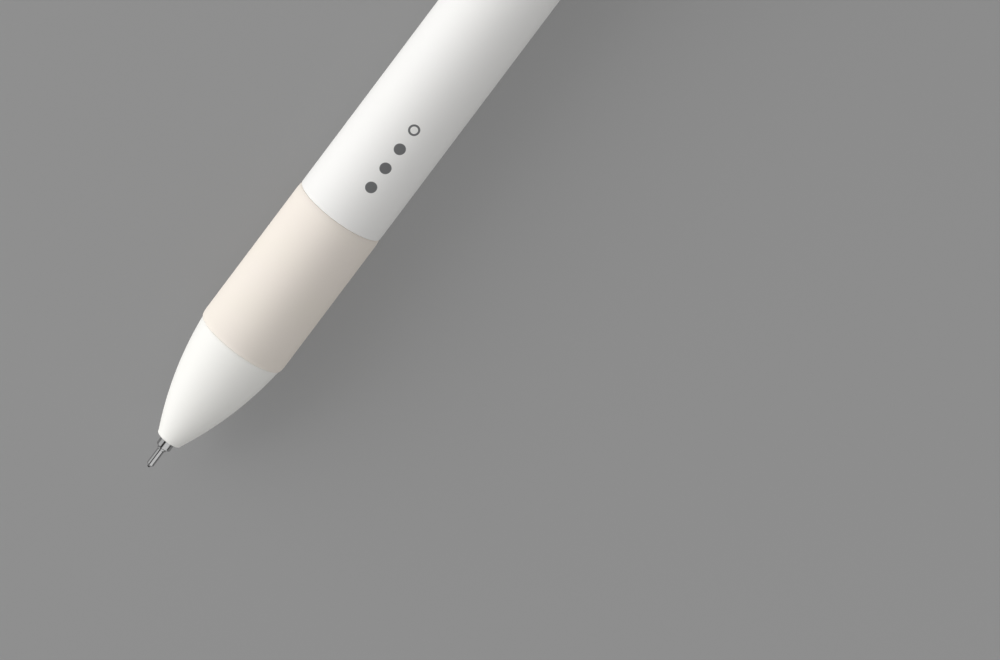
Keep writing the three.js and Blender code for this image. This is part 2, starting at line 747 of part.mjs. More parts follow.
const pencil = station(PENCIL_TURN);
const drawnIn = new THREE.Group();
drawnIn.position.x = -TRAVEL;
pencil.add(drawnIn);
const unit = new THREE.Group();
unit.position.z = REFILL_OFFSET;
drawnIn.add(unit);
add('slider_pencil', sliderBody(saddle()), WHITE, drawnIn);
add('clip', clip(), WHITE, drawnIn);
add('plunger_pencil', plunger(), INNER, unit);
add('pencil_tip', pencilTip(), STEEL, unit);
add('clutch_ring', clutchRing(), STEEL, unit);
add('chuck', chuck(), BRASS, unit);
add('lead', lead(), LEAD, unit);
add('lead_tube', refillTube(pencilTipRear + SEAM, false), INNER, drawnIn);
add('clutch_spring', clutchSpring('clutch_spring'), STEEL, unit);
returnSpring('spring_pencil', false, pencil);

// The origin lies on the table under the middle of the pen's box
const box = new THREE.Box3().setFromObject(pen);
const middle = box.getCenter(new THREE.Vector3());
pen.position.set(-middle.x, -middle.y, -box.min.z);

export default pen;
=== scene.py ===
# %% [markdown]
# # A multifunction pen
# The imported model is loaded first, as the frame that every finished piece is fitted to.

# %% Load the frame
from math import atan2, cos, hypot, pi, radians, sin, sqrt

import bpy
from mathutils import Matrix, Vector


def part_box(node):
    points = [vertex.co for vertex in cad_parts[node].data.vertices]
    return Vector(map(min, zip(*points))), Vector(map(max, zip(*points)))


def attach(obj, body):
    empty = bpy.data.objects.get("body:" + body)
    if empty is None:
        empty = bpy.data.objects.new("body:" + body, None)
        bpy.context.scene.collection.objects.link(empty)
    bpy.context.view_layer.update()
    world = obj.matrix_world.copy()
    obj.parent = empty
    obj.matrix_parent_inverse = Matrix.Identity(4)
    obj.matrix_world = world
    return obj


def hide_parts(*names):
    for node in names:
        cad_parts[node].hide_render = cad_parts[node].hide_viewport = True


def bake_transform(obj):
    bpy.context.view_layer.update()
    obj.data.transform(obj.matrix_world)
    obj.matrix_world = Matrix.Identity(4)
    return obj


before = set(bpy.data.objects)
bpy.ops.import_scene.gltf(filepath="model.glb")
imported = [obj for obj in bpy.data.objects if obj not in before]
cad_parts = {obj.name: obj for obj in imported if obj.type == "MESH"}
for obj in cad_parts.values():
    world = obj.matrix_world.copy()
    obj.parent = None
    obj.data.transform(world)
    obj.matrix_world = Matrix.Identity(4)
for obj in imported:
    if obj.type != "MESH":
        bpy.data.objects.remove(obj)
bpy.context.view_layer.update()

# %% [markdown]
# All sizes below are in millimetres, and MM turns them into Blender's metres. The pen's axis runs
# along X, so a place on the pen is told by how far it lies back from the flat end of the nose. The
# axis and the nose's end are read from the frame, and nothing else needs to be fitted.

# %% The pen's axis and places along it
MM = 0.001
nose_low, nose_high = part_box("nose_cone")
AXIS_Y = (nose_low.y + nose_high.y) / 2
AXIS_Z = (nose_low.z + nose_high.z) / 2
NOSE_END = nose_high.x


def along(place):
    """The X of a place that lies this many millimetres behind the nose's end."""
    return NOSE_END - place * MM


def back_of(node):
    """How far the two ends of a CAD node lie behind the nose's end, in millimetres."""
    low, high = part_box(node)
    return (NOSE_END - high.x) / MM, (NOSE_END - low.x) / MM


def length_of(node):
    """How long a CAD node is along the pen, in millimetres."""
    front, rear = back_of(node)
    return rear - front


print("axis at", round(AXIS_Y / MM, 3), round(AXIS_Z / MM, 3), "mm, nose ends at", round(NOSE_END / MM, 2))

# %% [markdown]
# The camera looks at the pen from the photo's angle. There the pen's axis climbs to the right at a
# known angle, and the seams are ellipses, whose bulge gives the angle between the axis and the line
# of sight. A long lens keeps the barrel's edges parallel, as they are in the photo.

# %% Camera
FRAME_WIDE, FRAME_HIGH = 1000, 660
PIXELS_PER_MM = 7.2
AXIS_CLIMB = radians(52.957)
AXIS_TO_SIGHT = radians(76.2)
SEAM_PIXEL = (340.3, 211.4)
SEAM_PLACE = 41.0
LENS, SENSOR, SIGHT_END = 1000.0, 36.0, 20.0

to_viewer = Vector((-cos(AXIS_TO_SIGHT), 0, sin(AXIS_TO_SIGHT)))
climb = Vector((-sin(AXIS_TO_SIGHT), 0, -cos(AXIS_TO_SIGHT)))
across = Vector((0, 1, 0))
right = climb * cos(AXIS_CLIMB) + across * sin(AXIS_CLIMB)
up = climb * sin(AXIS_CLIMB) - across * cos(AXIS_CLIMB)

distance = FRAME_WIDE / PIXELS_PER_MM * MM * LENS / SENSOR
seam = Vector((along(SEAM_PLACE), AXIS_Y, AXIS_Z))
shift_right = (SEAM_PIXEL[0] - FRAME_WIDE / 2) / PIXELS_PER_MM * MM
shift_up = (FRAME_HIGH / 2 - SEAM_PIXEL[1]) / PIXELS_PER_MM * MM

bpy.ops.object.select_all(action="DESELECT")
bpy.ops.object.camera_add(location=seam + to_viewer * distance - right * shift_right - up * shift_up)
camera = bpy.context.object
camera.name = "camera"
camera.rotation_mode = "QUATERNION"
camera.rotation_quaternion = Matrix((right, up, to_viewer)).transposed().to_quaternion()
camera.data.lens = LENS
camera.data.sensor_width = SENSOR
camera.data.clip_end = SIGHT_END
bpy.context.scene.camera = camera
print("camera stands", round(distance, 3), "m from the pen")

# %% [markdown]
# Shader maths could be built by adding and linking one node after the other, but it is easier to
# read as plain expressions. So a small class wraps one socket of a node tree and adds a Math node
# for each operator. Every other node comes from one method.

# %% A wrapped socket


class Socket:
    """One output socket of a node tree, with which sums are written as Python expressions."""

    def __init__(self, tree, socket):
        self.tree = tree
        self.socket = socket

    def feed(self, value, target):
        """Links a wrapped socket to an input, or writes a plain value there."""
        if isinstance(value, Socket):
            self.tree.links.new(value.socket, target)
        else:
            target.default_value = value

    def node(self, kind, settings=None, inputs=None, output=0):
        """A new node of this tree: settings first, then the values or links of its sockets."""
        made = self.tree.nodes.new(kind)
        for key, value in (settings or {}).items():
            setattr(made, key, value)
        for key, value in (inputs or {}).items():
            self.feed(value, made.inputs[key])
        return Socket(self.tree, made.outputs[output])

    def maths(self, operation, *values):
        return self.node("ShaderNodeMath", {"operation": operation}, dict(enumerate(values)))

    def __add__(self, other):
        return self.maths("ADD", self, other)

    def __radd__(self, other):
        return self.maths("ADD", other, self)

    def __sub__(self, other):
        return self.maths("SUBTRACT", self, other)

    def __rsub__(self, other):
        return self.maths("SUBTRACT", other, self)

    def __mul__(self, other):
        return self.maths("MULTIPLY", self, other)

    def __rmul__(self, other):
        return self.maths("MULTIPLY", other, self)

    def below(self, edge, soft):
        """1 where this lies below an edge and 0 above it, with a soft step between."""
        ends = {"From Min": edge - soft, "From Max": edge + soft, "To Min": 1.0, "To Max": 0.0}
        return self.node("ShaderNodeMapRange", {"interpolation_type": "SMOOTHSTEP"}, {"Value": self, **ends})

    def mix(self, colour, other):
        """The first colour where this is 0 and the other where it is 1."""
        factor, first, second, result = 0, 6, 7, 2
        inputs = {factor: self, first: colour, second: other}
        return self.node("ShaderNodeMix", {"data_type": "RGBA"}, inputs, result)


# %% [markdown]
# Every material here starts alike: its constants go on the shader's own sockets, and its patterns
# read the piece's Object coordinates, which are metres of the frame. A UV map could carry a pattern
# too, but every turned piece would need a seam for it. What varies over a surface is noise of a
# chosen grain, which feeds its colour, its roughness and a fine relief.

# %% What all materials share


def new_material(name, constants=None):
    """A material, its shader and its place, which is the piece's Object coordinates."""
    material = bpy.data.materials.new(name)
    material.use_nodes = True
    tree = material.node_tree
    shader = tree.nodes["Principled BSDF"]
    for key, value in (constants or {}).items():
        shader.inputs[key].default_value = value
    print("material:", name)
    return material, shader, Socket(tree, None).node("ShaderNodeTexCoord", output="Object")


def noise(place, grain, detail=2.0, rough=0.5):
    """Noise from 0 to 1 whose grain is this many millimetres."""
    inputs = {"Vector": place, "Scale": 1 / (grain * MM), "Detail": detail, "Roughness": rough}
    return place.node("ShaderNodeTexNoise", {}, inputs)


def surface(place, shader, colour, roughness, relief, depth):
    """Feeds a shader its colour, its roughness and a relief of this many millimetres."""
    raised = place.node("ShaderNodeBump", {}, {"Height": relief, "Distance": depth * MM})
    for value, socket in ((colour, "Base Color"), (roughness, "Roughness"), (raised, "Normal")):
        place.feed(value, shader.inputs[socket])


# %% [markdown]
# The studio is a plain floor, a soft grey world and three lamps. In the photo the pen is brightest
# along its left edge and falls off evenly to the right, so the key lamp stands low on the left and is
# very large, a weaker one hangs nearly overhead, and a fill lamp lifts the right. A lamp's tilt is how
# far it stands to the right of overhead, and its lean how far towards the nose's end of the pen. No
# lamp is seen by the camera or in a mirror, because the steel mirrors the world that comes next.

# %% Studio lamps, each with its power, size, tilt and lean
LAMP_DISTANCE, LIT_PLACE = 1.0, 45
LAMPS = {
    "key_lamp": (9.6, (1.1, 1.0), radians(-70), radians(20)),
    "fill_lamp": (2.5, (0.9, 0.9), radians(70), 0.0),
    "top_lamp": (2.0, (0.6, 1.1), radians(20), pi / 2 - AXIS_TO_SIGHT),
}

for name, (power, size, tilt, lean) in LAMPS.items():
    overhead = Vector((0, sin(tilt), cos(tilt)))
    direction = overhead * cos(lean) + Vector((sin(lean), 0, 0))
    target = Vector((along(LIT_PLACE), AXIS_Y, AXIS_Z))
    bpy.ops.object.light_add(type="AREA", location=target + direction * LAMP_DISTANCE)
    light = bpy.context.object
    light.name = name
    light.data.shape = "RECTANGLE"
    light.data.size, light.data.size_y = size
    light.data.energy = power
    lengthwise = direction.cross(across).normalized()
    light.rotation_mode = "QUATERNION"
    turned_to_pen = Matrix((lengthwise, direction.cross(lengthwise), direction)).transposed()
    light.rotation_quaternion = turned_to_pen.to_quaternion()
    light.visible_camera = False
    light.visible_glossy = False
    print(name, power, "W")
bpy.context.scene.view_settings.view_transform = "Standard"

# %% [markdown]
# Polished steel mirrors the room. In the photo it is an even grey on its left, then comes a thin
# dark line, a brighter band and a dark right edge. A picture of a room is often used for that, but a
# few soft steps give the same bands and need no file. So rays that a mirror sends out see a world
# that is pale on the left and brighter on the right, with a dark gap left of overhead and a dark end
# at the far right. For all other light the world is a soft grey that darkens to the right.

# %% World
WORLD_LEFT, WORLD_RIGHT, WORLD_SEEN = 0.8, 0.16, 0.45
DARK_FROM, DARK_SOFT = -0.32, 0.14
MIRRORED_LEFT, MIRRORED_GAP, MIRRORED_RIGHT = 0.7, 0.02, 0.9
GAP_FROM, GAP_TO, BAND_TO, GAP_SOFT = -0.56, -0.12, 0.9, 0.05

world = bpy.data.worlds.new("studio")
world.use_nodes = True
background = world.node_tree.nodes["Background"].inputs
sky = Socket(world.node_tree, None).node("ShaderNodeTexCoord", output="Generated")
sideways = sky.node("ShaderNodeSeparateXYZ", {}, {"Vector": sky}, "Y")
lit = sideways.below(DARK_FROM, DARK_SOFT) * (WORLD_LEFT - WORLD_RIGHT) + WORLD_RIGHT
pale = sideways.below(GAP_FROM, GAP_SOFT) * (MIRRORED_LEFT - MIRRORED_GAP)
band = (1 - sideways.below(GAP_TO, GAP_SOFT)) * sideways.below(BAND_TO, GAP_SOFT)
mirrored = pale + band * (MIRRORED_RIGHT - MIRRORED_GAP) + MIRRORED_GAP
is_camera = sky.node("ShaderNodeLightPath", output="Is Camera Ray")
is_glossy = sky.node("ShaderNodeLightPath", output="Is Glossy Ray")
sky.feed(lit + is_camera * (WORLD_SEEN - lit) + is_glossy * (mirrored - lit), background["Strength"])
sky.feed((1, 1, 1, 1), background["Color"])
bpy.context.scene.world = world
print("world light, left and right:", WORLD_LEFT, WORLD_RIGHT)

# %% [markdown]
# The barrel and nose are matt white plastic. Up close such a moulding has a very fine spark-eroded
# grain, a slight unevenness in its gloss, and a tone that wanders by a percent or so. One noise can't
# be fine and broad at once, so three layers of different size do that work. The colour itself is only
# just off white, and the nose, which is a moulding of its own, is a shade warmer than the barrel.

# %% White plastic
WHITE, WHITE_WARM = (0.875, 0.87, 0.855, 1), (0.855, 0.842, 0.815, 1)
NOSE_WHITE = (0.875, 0.868, 0.832, 1)
CLOUD_GRAIN, CLOUD_SHARE = 14, 0.55
SPARK_GRAIN, SPARK_DEPTH, SPARK_ROUGHNESS = 0.16, 0.006, 0.05
WHITE_ROUGHNESS, GLOSS_GRAIN, GLOSS_DRIFT = 0.46, 5, 0.08


def white_plastic(name, tint=WHITE, marks=None):
    """Matt white plastic. marks may give a mask of a print and its colour."""
    material, shader, place = new_material(name)
    grain = noise(place, SPARK_GRAIN, detail=3, rough=0.6)
    colour = (noise(place, CLOUD_GRAIN, detail=3) * CLOUD_SHARE).mix(tint, WHITE_WARM)
    if marks:
        mask, ink = marks(place)
        colour = mask.mix(colour, ink)
    roughness = WHITE_ROUGHNESS + noise(place, GLOSS_GRAIN) * GLOSS_DRIFT + grain * SPARK_ROUGHNESS
    surface(place, shader, colour, roughness, grain, SPARK_DEPTH)
    return material


nose_white = white_plastic("matt_white_nose", NOSE_WHITE)
plain_white = white_plastic("matt_white_plastic")

# %% [markdown]
# The grip is a soft rubber skin in a warm off-white. Rubber has no sharp highlight, so it is rougher
# than the plastic and mirrors less, and its tone drifts between a pinker and a yellower cream in
# patches a few millimetres wide, as the photo shows. One flat colour would look like paint, so a
# broad noise mixes the two tones, and a fine one gives the pores.

# %% Grip rubber
GRIP_PINK, GRIP_CREAM = (0.835, 0.765, 0.71, 1), (0.82, 0.768, 0.685, 1)
PATCH_GRAIN, PORE_GRAIN, PORE_DEPTH = 7, 0.22, 0.008
GRIP_ROUGHNESS, PORE_ROUGHNESS, GRIP_MIRRORS = 0.7, 0.12, 0.2


def grip_rubber():
    material, shader, place = new_material("grip_rubber", {"Specular IOR Level": GRIP_MIRRORS})
    pores = noise(place, PORE_GRAIN, detail=4, rough=0.65)
    colour = noise(place, PATCH_GRAIN).mix(GRIP_CREAM, GRIP_PINK)
    surface(place, shader, colour, GRIP_ROUGHNESS + pores * PORE_ROUGHNESS, pores, PORE_DEPTH)
    return material


rubber = grip_rubber()

# %% [markdown]
# The points are turned steel. A lathe leaves hair-fine rings round the work. They could be modelled,
# but they are far finer than a face, so the relief and the roughness follow a noise that is
# stretched round the axis and fine along it. The springs, the balls and the brass chuck are finished
# in the same way, each in its own colour. The balls' near-black colour is partly the ink that wets
# them and partly painted shade, which darkens the very end of each point.

# %% Metals
RING_STRETCH, RING_GRAIN, RING_DEPTH, RING_ROUGHNESS = (1.0, 0.05, 0.05), 0.035, 0.002, 0.12
SMUDGE_GRAIN, DARKER, DARK_SHARE = 1.5, 0.86, 0.6


def dappled(place, colour, grain, detail=2):
    """A colour that darkens a little in soft patches of this many millimetres."""
    darker = tuple(part * DARKER for part in colour[:3]) + (1,)
    return (noise(place, grain, detail) * DARK_SHARE).mix(colour, darker)


def turned_metal(name, colour, roughness):
    material, shader, place = new_material(name, {"Metallic": 1.0})
    stretched = place.node("ShaderNodeMapping", {}, {"Vector": place, "Scale": RING_STRETCH})
    rings = noise(stretched, RING_GRAIN, rough=0.6)
    smudged = dappled(place, colour, SMUDGE_GRAIN)
    surface(place, shader, smudged, roughness + rings * RING_ROUGHNESS, rings, RING_DEPTH)
    return material


steel = turned_metal("turned_steel", (0.56, 0.56, 0.56, 1), roughness=0.1)
wire_steel = turned_metal("spring_steel", (0.55, 0.55, 0.57, 1), roughness=0.22)
# Near-black ball: partly wet ink, partly painted shade at the point's end.
inked_shaded_ball = turned_metal("ball_ink_and_painted_shade", (0.02, 0.02, 0.021, 1), roughness=0.12)
brass = turned_metal("turned_brass", (0.72, 0.50, 0.24, 1), roughness=0.22)

# %% [markdown]
# The knobs and the inner pieces are moulded in coloured plastics with a little more gloss than the
# barrel. The gel, the grease, the eraser and the lead have a surface of the same kind with their own
# roughness and grain. Each could have a material built for it alone, but they differ only in
# numbers, so one function makes them all.

# %% Coloured plastics, gel and eraser
MOTTLE_GRAIN, SKIN_DEPTH, SKIN_ROUGHNESS = 3, 0.004, 0.1
GEL_COLOURS = {
    "black": (0.012, 0.012, 0.014, 1),
    "blue": (0.012, 0.03, 0.26, 1),
    "red": (0.42, 0.012, 0.016, 1),
}
KNOB_COLOURS = {
    "black": (0.018, 0.018, 0.02, 1),
    "blue": (0.025, 0.11, 0.42, 1),
    "red": (0.52, 0.032, 0.032, 1),
}
WET = {"roughness": 0.2, "grain": 0.8}


def moulded(name, colour, roughness=0.36, grain=0.2):
    material, shader, place = new_material(name)
    skin = noise(place, grain, detail=3, rough=0.6)
    mottled = dappled(place, colour, MOTTLE_GRAIN, detail=3)
    surface(place, shader, mottled, roughness + skin * SKIN_ROUGHNESS, skin, SKIN_DEPTH)
    return material


knob_plastic = {ink: moulded(f"knob_{ink}", colour) for ink, colour in KNOB_COLOURS.items()}
gel = {ink: moulded(f"gel_{ink}", colour, **WET) for ink, colour in GEL_COLOURS.items()}
grease = moulded("gel_follower", (0.62, 0.60, 0.50, 1), **WET)
inner_plastic = moulded("inner_plastic", (0.62, 0.63, 0.64, 1), roughness=0.4)
eraser_rubber = moulded("eraser_rubber", (0.82, 0.81, 0.79, 1), roughness=0.8, grain=0.5)
graphite = moulded("graphite", (0.05, 0.05, 0.055, 1), roughness=0.35, grain=0.1)

# %% [markdown]
# The refill tubes are a clear plastic with a faint haze, so the gel inside shows as a coloured core.
# A glass shader would have to follow each ray through all the thin walls, so a nearly see-through
# plastic is used instead. A clear wall shows best where one looks along it, so its sides are denser.

# %% Clear tube
TUBE_CLEAR, TUBE_THIN, TUBE_SIDES, SIDE_BLEND = (0.8, 0.82, 0.84, 1), 0.025, 0.2, 0.4
HAZE_GRAIN, HAZE_SHARE, HAZE_ROUGHNESS, TUBE_ROUGHNESS = 2.5, 0.03, 0.1, 0.2


def clear_tube(name):
    material, shader, place = new_material(name, {"Base Color": TUBE_CLEAR})
    haze = noise(place, HAZE_GRAIN)
    side = place.node("ShaderNodeLayerWeight", {}, {"Blend": SIDE_BLEND}, "Facing")
    place.feed(TUBE_THIN + haze * HAZE_SHARE + side * side * TUBE_SIDES, shader.inputs["Alpha"])
    place.feed(TUBE_ROUGHNESS + haze * HAZE_ROUGHNESS, shader.inputs["Roughness"])
    return material


tube_plastic = clear_tube("refill_tube")

# %% [markdown]
# Most pieces of a pen are turned or moulded round one axis. By hand such a piece is drawn as half an
# outline and spun, so this helper does the same: it starts from a small plane merged to one point,
# extrudes that point along the outline, and spins the line of points a full turn. An outline is a
# list of (place, radius) pairs in millimetres. Where it is shut, the piece is a tube with a wall. A
# cylinder that is inset and extruded step by step would do too, but an arc would take many steps.
# Smooth shading blends the directions of two faces over the whole length of the longer one, so a
# point close to both ends of each long stretch keeps the blend in the corner, where it belongs.

# %% Drawing a line of points


def edit_all():
    """Goes to edit mode with everything selected."""
    bpy.ops.object.mode_set(mode="EDIT")
    bpy.ops.mesh.select_all(action="SELECT")


def start_point(first):
    """A mesh of one selected point, in edit mode."""
    bpy.ops.object.select_all(action="DESELECT")
    bpy.ops.mesh.primitive_plane_add(size=MM)
    piece = bpy.context.object
    edit_all()
    bpy.ops.mesh.merge(type="CENTER")
    bpy.ops.transform.translate(value=first)
    return piece


def draw_line(points):
    """Extrudes the selected point from each point to the next."""
    for one, other in zip(points, points[1:]):
        bpy.ops.mesh.extrude_region_move(TRANSFORM_OT_translate={"value": other - one})


# %% Points that hold the corners
LONG_STRETCH, SUPPORT = 0.6, 0.06


def part_way(start, end, share):
    """The number that lies this share of the way from start to end."""
    return start + (end - start) * share


def supported(outline):
    """The outline with one more point close to both ends of each long stretch."""
    points = outline[:1]
    for (place, radius), (next_place, next_radius) in zip(outline, outline[1:]):
        length = hypot(next_place - place, next_radius - radius)
        if length > LONG_STRETCH:
            for share in (SUPPORT / length, 1 - SUPPORT / length):
                points.append((part_way(place, next_place, share), part_way(radius, next_radius, share)))
        points.append((next_place, next_radius))
    return points


# %% Turning a piece
SAME_POINT = 2e-6


def face_outwards(piece, name):
    """Turns every face outwards, leaves edit mode and names the piece."""
    bpy.ops.mesh.select_all(action="SELECT")
    bpy.ops.mesh.normals_make_consistent(inside=False)
    bpy.ops.object.mode_set(mode="OBJECT")
    piece.name = name
    return piece


def turned(name, outline, sides=128, shut=False):
    """A piece spun round the pen's axis from its outline."""
    corners = supported(outline + outline[:1] if shut else outline)
    points = [Vector((along(place), AXIS_Y, AXIS_Z + radius * MM)) for place, radius in corners]
    piece = start_point(points[0])
    draw_line(points)
    bpy.ops.mesh.select_all(action="SELECT")
    bpy.ops.mesh.spin(steps=sides, angle=2 * pi, center=(0, AXIS_Y, AXIS_Z), axis=(1, 0, 0))
    bpy.ops.mesh.select_all(action="SELECT")
    bpy.ops.mesh.remove_doubles(threshold=SAME_POINT)
    return face_outwards(piece, name)


# %% [markdown]
# Moulded edges are never sharp. The corners of an outline are arcs, which is exact and costs few
# points, where a Bevel modifier would round every corner alike. With one step an arc is a plain
# broken edge. Angles are in degrees, 0 towards the nose and 90 outwards.

# %% Rounded corners of an outline


def arc(centre, radii, start, end, steps=6):
    """Points of a round about a centre, with a radius along the pen and one across it."""
    angles = [radians(start + (end - start) * i / steps) for i in range(steps + 1)]
    return [(centre[0] - radii[0] * cos(a), centre[1] + radii[1] * sin(a)) for a in angles]


def front_round(place, radius, edge, end=90, steps=6):
    """The round at a front corner, from its face outwards."""
    return arc((place + edge, radius - edge), (edge, edge), 0, end, steps)


def rear_round(place, radius, edge, start=90, end=180, steps=6):
    """The round at a rear corner, from its outside to its face."""
    return arc((place - edge, radius - edge), (edge, edge), start, end, steps)


# %% [markdown]
# The pen holds four refills side by side, so many pieces come four times, a quarter turn apart. An
# Array modifier could turn the copies, but they would be one piece, and here each rides on a body of
# its own. So a piece is modelled once on the pen's own axis, with its front at place 0. Each copy
# gets its own mesh, is raised over the axis, turned to its station, and moved back to its CAD node's
# place.

# %% Stations and copies
STATION_TURN = {"black": radians(-45), "blue": radians(-135), "red": radians(135), "pencil": radians(45)}
INKS = tuple(GEL_COLOURS)
REFILL_OFFSET = 2.5


def pick(piece):
    """Makes this the only selected object, and the active one."""
    bpy.ops.object.select_all(action="DESELECT")
    piece.select_set(True)
    bpy.context.view_layer.objects.active = piece


def settle(piece, station, front=0.0, rise=0.0):
    """Moves a piece from the pen's axis to its station, and applies its place."""
    turn = Matrix.Rotation(STATION_TURN[station], 3, "X")
    centre = Vector((0, AXIS_Y, AXIS_Z))
    pick(piece)
    piece.rotation_euler = (STATION_TURN[station], 0, 0)
    piece.location = centre + turn @ (Vector((0, 0, rise * MM)) - centre) - Vector((front * MM, 0, 0))
    bpy.ops.object.transform_apply(location=True, rotation=True, scale=True)
    return piece


def copy_of(piece, name):
    """A copy with its own mesh."""
    pick(piece)
    bpy.ops.object.duplicate()
    bpy.context.object.name = name
    return bpy.context.object


# %% [markdown]
# Flat shading would show every face of a round piece, and smooth shading would blur its corners, so
# each finished piece is smoothed across its soft edges only. It gets its material, rides on the body
# that carries it, and the CAD node whose place it takes is hidden. A piece that reaches from one
# moving body to another, such as a spring or a tube, is left in place instead and rides on no body.

# %% Finishing a piece


def dress(piece, material, body, nodes=(), sharp=35, bend=None):
    """Finishes a piece. With bend given it rides on no body, and the two places in bend are not used."""
    pick(piece)
    bpy.ops.object.shade_smooth_by_angle(angle=radians(sharp))
    piece.data.materials.clear()
    piece.data.materials.append(material)
    if bend:
        start, end = ((along(place), AXIS_Y, AXIS_Z) for place in bend)
        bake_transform(piece)
    else:
        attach(piece, body)
    if nodes:
        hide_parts(*nodes)
    print(piece.name, "faces:", len(piece.data.polygons))


# %% [markdown]
# The nose is one arc from its small round rim back to the grip, with a funnel inside that guides
# every point to the hole. Its rim is fully rounded, as the bright line round the steel shows in the
# photo. A scaled sphere would come close, but the arc's radius was fitted to the silhouette.

# %% Nose cone
SEAM_GAP = 0.12
NOSE_LENGTH = back_of("grip_sleeve")[0] - SEAM_GAP
NOSE_TIP, NOSE_REAR, NOSE_ARC, NOSE_RINGS = 1.78, 6.58, 52.9, 40
HOLE_RADIUS, HOLE_LAND, HOLE_EDGE, RIM_ROUND, RIM_TURN = 1.25, 0.5, 0.1, 0.42, 80
FUNNEL = [(11.4, 3.925), (8.43, 3.72), (5.23, 3.155)]
SPIGOT_LENGTH, SPIGOT_RADIUS = 6.5, 4.6
REAR_BREAK, REAR_DROP, FACE_DROP = 0.03, 0.05, 0.14


def nose_radius(place):
    """The radius of the nose's outside at a place."""
    chord = hypot(NOSE_LENGTH, NOSE_REAR - NOSE_TIP)
    lean = atan2(NOSE_REAR - NOSE_TIP, NOSE_LENGTH)
    rise = sqrt(NOSE_ARC**2 - (chord / 2) ** 2)
    centre_place = NOSE_LENGTH / 2 + rise * sin(lean)
    centre_radius = (NOSE_TIP + NOSE_REAR) / 2 - rise * cos(lean)
    return centre_radius + sqrt(NOSE_ARC**2 - (place - centre_place) ** 2)


def nose_outline():
    """Round the rim, back along the arc, round the spigot, and forward through the funnel."""
    rim = front_round(0, nose_radius(RIM_ROUND), RIM_ROUND, RIM_TURN)
    last = NOSE_LENGTH - HOLE_EDGE
    places = [part_way(RIM_ROUND, last, i / NOSE_RINGS) for i in range(NOSE_RINGS + 1)]
    outside = [(place, nose_radius(place)) for place in places]
    rear_edge = [(NOSE_LENGTH - REAR_BREAK, NOSE_REAR - REAR_DROP), (NOSE_LENGTH, NOSE_REAR - FACE_DROP)]
    spigot_end = NOSE_LENGTH + SPIGOT_LENGTH
    spigot = [(NOSE_LENGTH, SPIGOT_RADIUS), (spigot_end, SPIGOT_RADIUS), (spigot_end, FUNNEL[0][1])]
    hole = [(HOLE_LAND + HOLE_EDGE, HOLE_RADIUS + HOLE_EDGE / 2), (HOLE_LAND, HOLE_RADIUS)]
    mouth = [(HOLE_EDGE, HOLE_RADIUS), (0, HOLE_RADIUS + HOLE_EDGE)]
    return rim + outside + rear_edge + spigot + FUNNEL + hole + mouth


nose = turned("nose", nose_outline(), shut=True)
dress(nose, nose_white, "front_body", ["nose_cone"], sharp=50)

# %% [markdown]
# The grip stands a hair proud of the barrel and rolls over at both ends, which is what draws the
# soft line at its seams. It is a plain sleeve with an even wall, so it is turned as well. A Bevel
# modifier would make a round that is as deep as it is long, so the outline brings its own, which is
# far longer than deep and gives each end its slow roll.

# %% Grip sleeve
TOUCH = 0.11
GRIP_FRONT, GRIP_REAR = back_of("grip_sleeve")
GRIP_RADIUS, GRIP_BORE = 6.82, 5.9
FRONT_ROLL, REAR_ROLL, ROLL_DEPTH, ROLL_STEPS = 1.1, 1.2, 0.2, 10


def grip_outline():
    """A sleeve whose ends touch the nose and the barrel."""
    edge = GRIP_RADIUS - ROLL_DEPTH
    start, end = GRIP_FRONT - TOUCH, GRIP_REAR + TOUCH
    front = arc((start + FRONT_ROLL, edge), (FRONT_ROLL, ROLL_DEPTH), 0, 90, ROLL_STEPS)
    rear = arc((end - REAR_ROLL, edge), (REAR_ROLL, ROLL_DEPTH), 90, 180, ROLL_STEPS)
    return front + rear + [(end, GRIP_BORE), (start, GRIP_BORE)]


grip = turned("grip", grip_outline(), shut=True)
dress(grip, rubber, "front_body", ["grip_sleeve"], sharp=60)

# %% [markdown]
# The barrel carries a plain sign for what the pen holds: three dots and a ring, printed in dark grey
# in a row along it. Thin discs could lie on the barrel, but they would stand off it or sink in. So
# the print is a mask in the barrel's material, measured along the axis and round the surface, and
# can't peel or float.

# %% Barrel print
BARREL_RADIUS = 6.75
PRINT_GREY = (0.075, 0.078, 0.082, 1)
PRINT_START, PRINT_STEP, PRINT_ANGLE = 48.0, 3.4, radians(12.6)
DOT_RADIUS, RING_INNER, PRINT_EDGE, PRINT_COVER = 0.85, 0.55, 0.03, 0.93


def print_marks(place):
    """The print's mask and colour: dots in a row, whose last is a ring."""
    x, y, z = (place.node("ShaderNodeSeparateXYZ", {}, {"Vector": place}, axis) for axis in "XYZ")
    angle = place.maths("ARCTAN2", y - AXIS_Y, z - AXIS_Z)
    round_it = (angle - PRINT_ANGLE) * (BARREL_RADIUS * MM)
    spots = []
    for i in range(len(STATION_TURN)):
        step = x - along(PRINT_START + PRINT_STEP * i)
        far = place.maths("SQRT", step * step + round_it * round_it)
        spots.append(far.below(DOT_RADIUS * MM, PRINT_EDGE * MM))
    ring = spots.pop() - far.below(RING_INNER * MM, PRINT_EDGE * MM)
    return sum(spots, ring) * PRINT_COVER, PRINT_GREY


printed_white = white_plastic("matt_white_barrel", marks=print_marks)

# %% [markdown]
# The front barrel narrows to a core under the grip. A cylinder would have to be cut for its core and
# its bore, and one outline gives both. The edge where it meets the grip is broken by a small round,
# which catches the light as the thin pale line in the photo.

# %% Front barrel
FRONT_BARREL_START, FRONT_BARREL_END = GRIP_REAR + SEAM_GAP, back_of("front_barrel")[1]
CORE_RADIUS, CORE_BORE, CORE_STEP, BARREL_BORE = 5.65, 4.85, 2.6, 5.65
FRONT_EDGE, REAR_EDGE = 0.2, 0.15


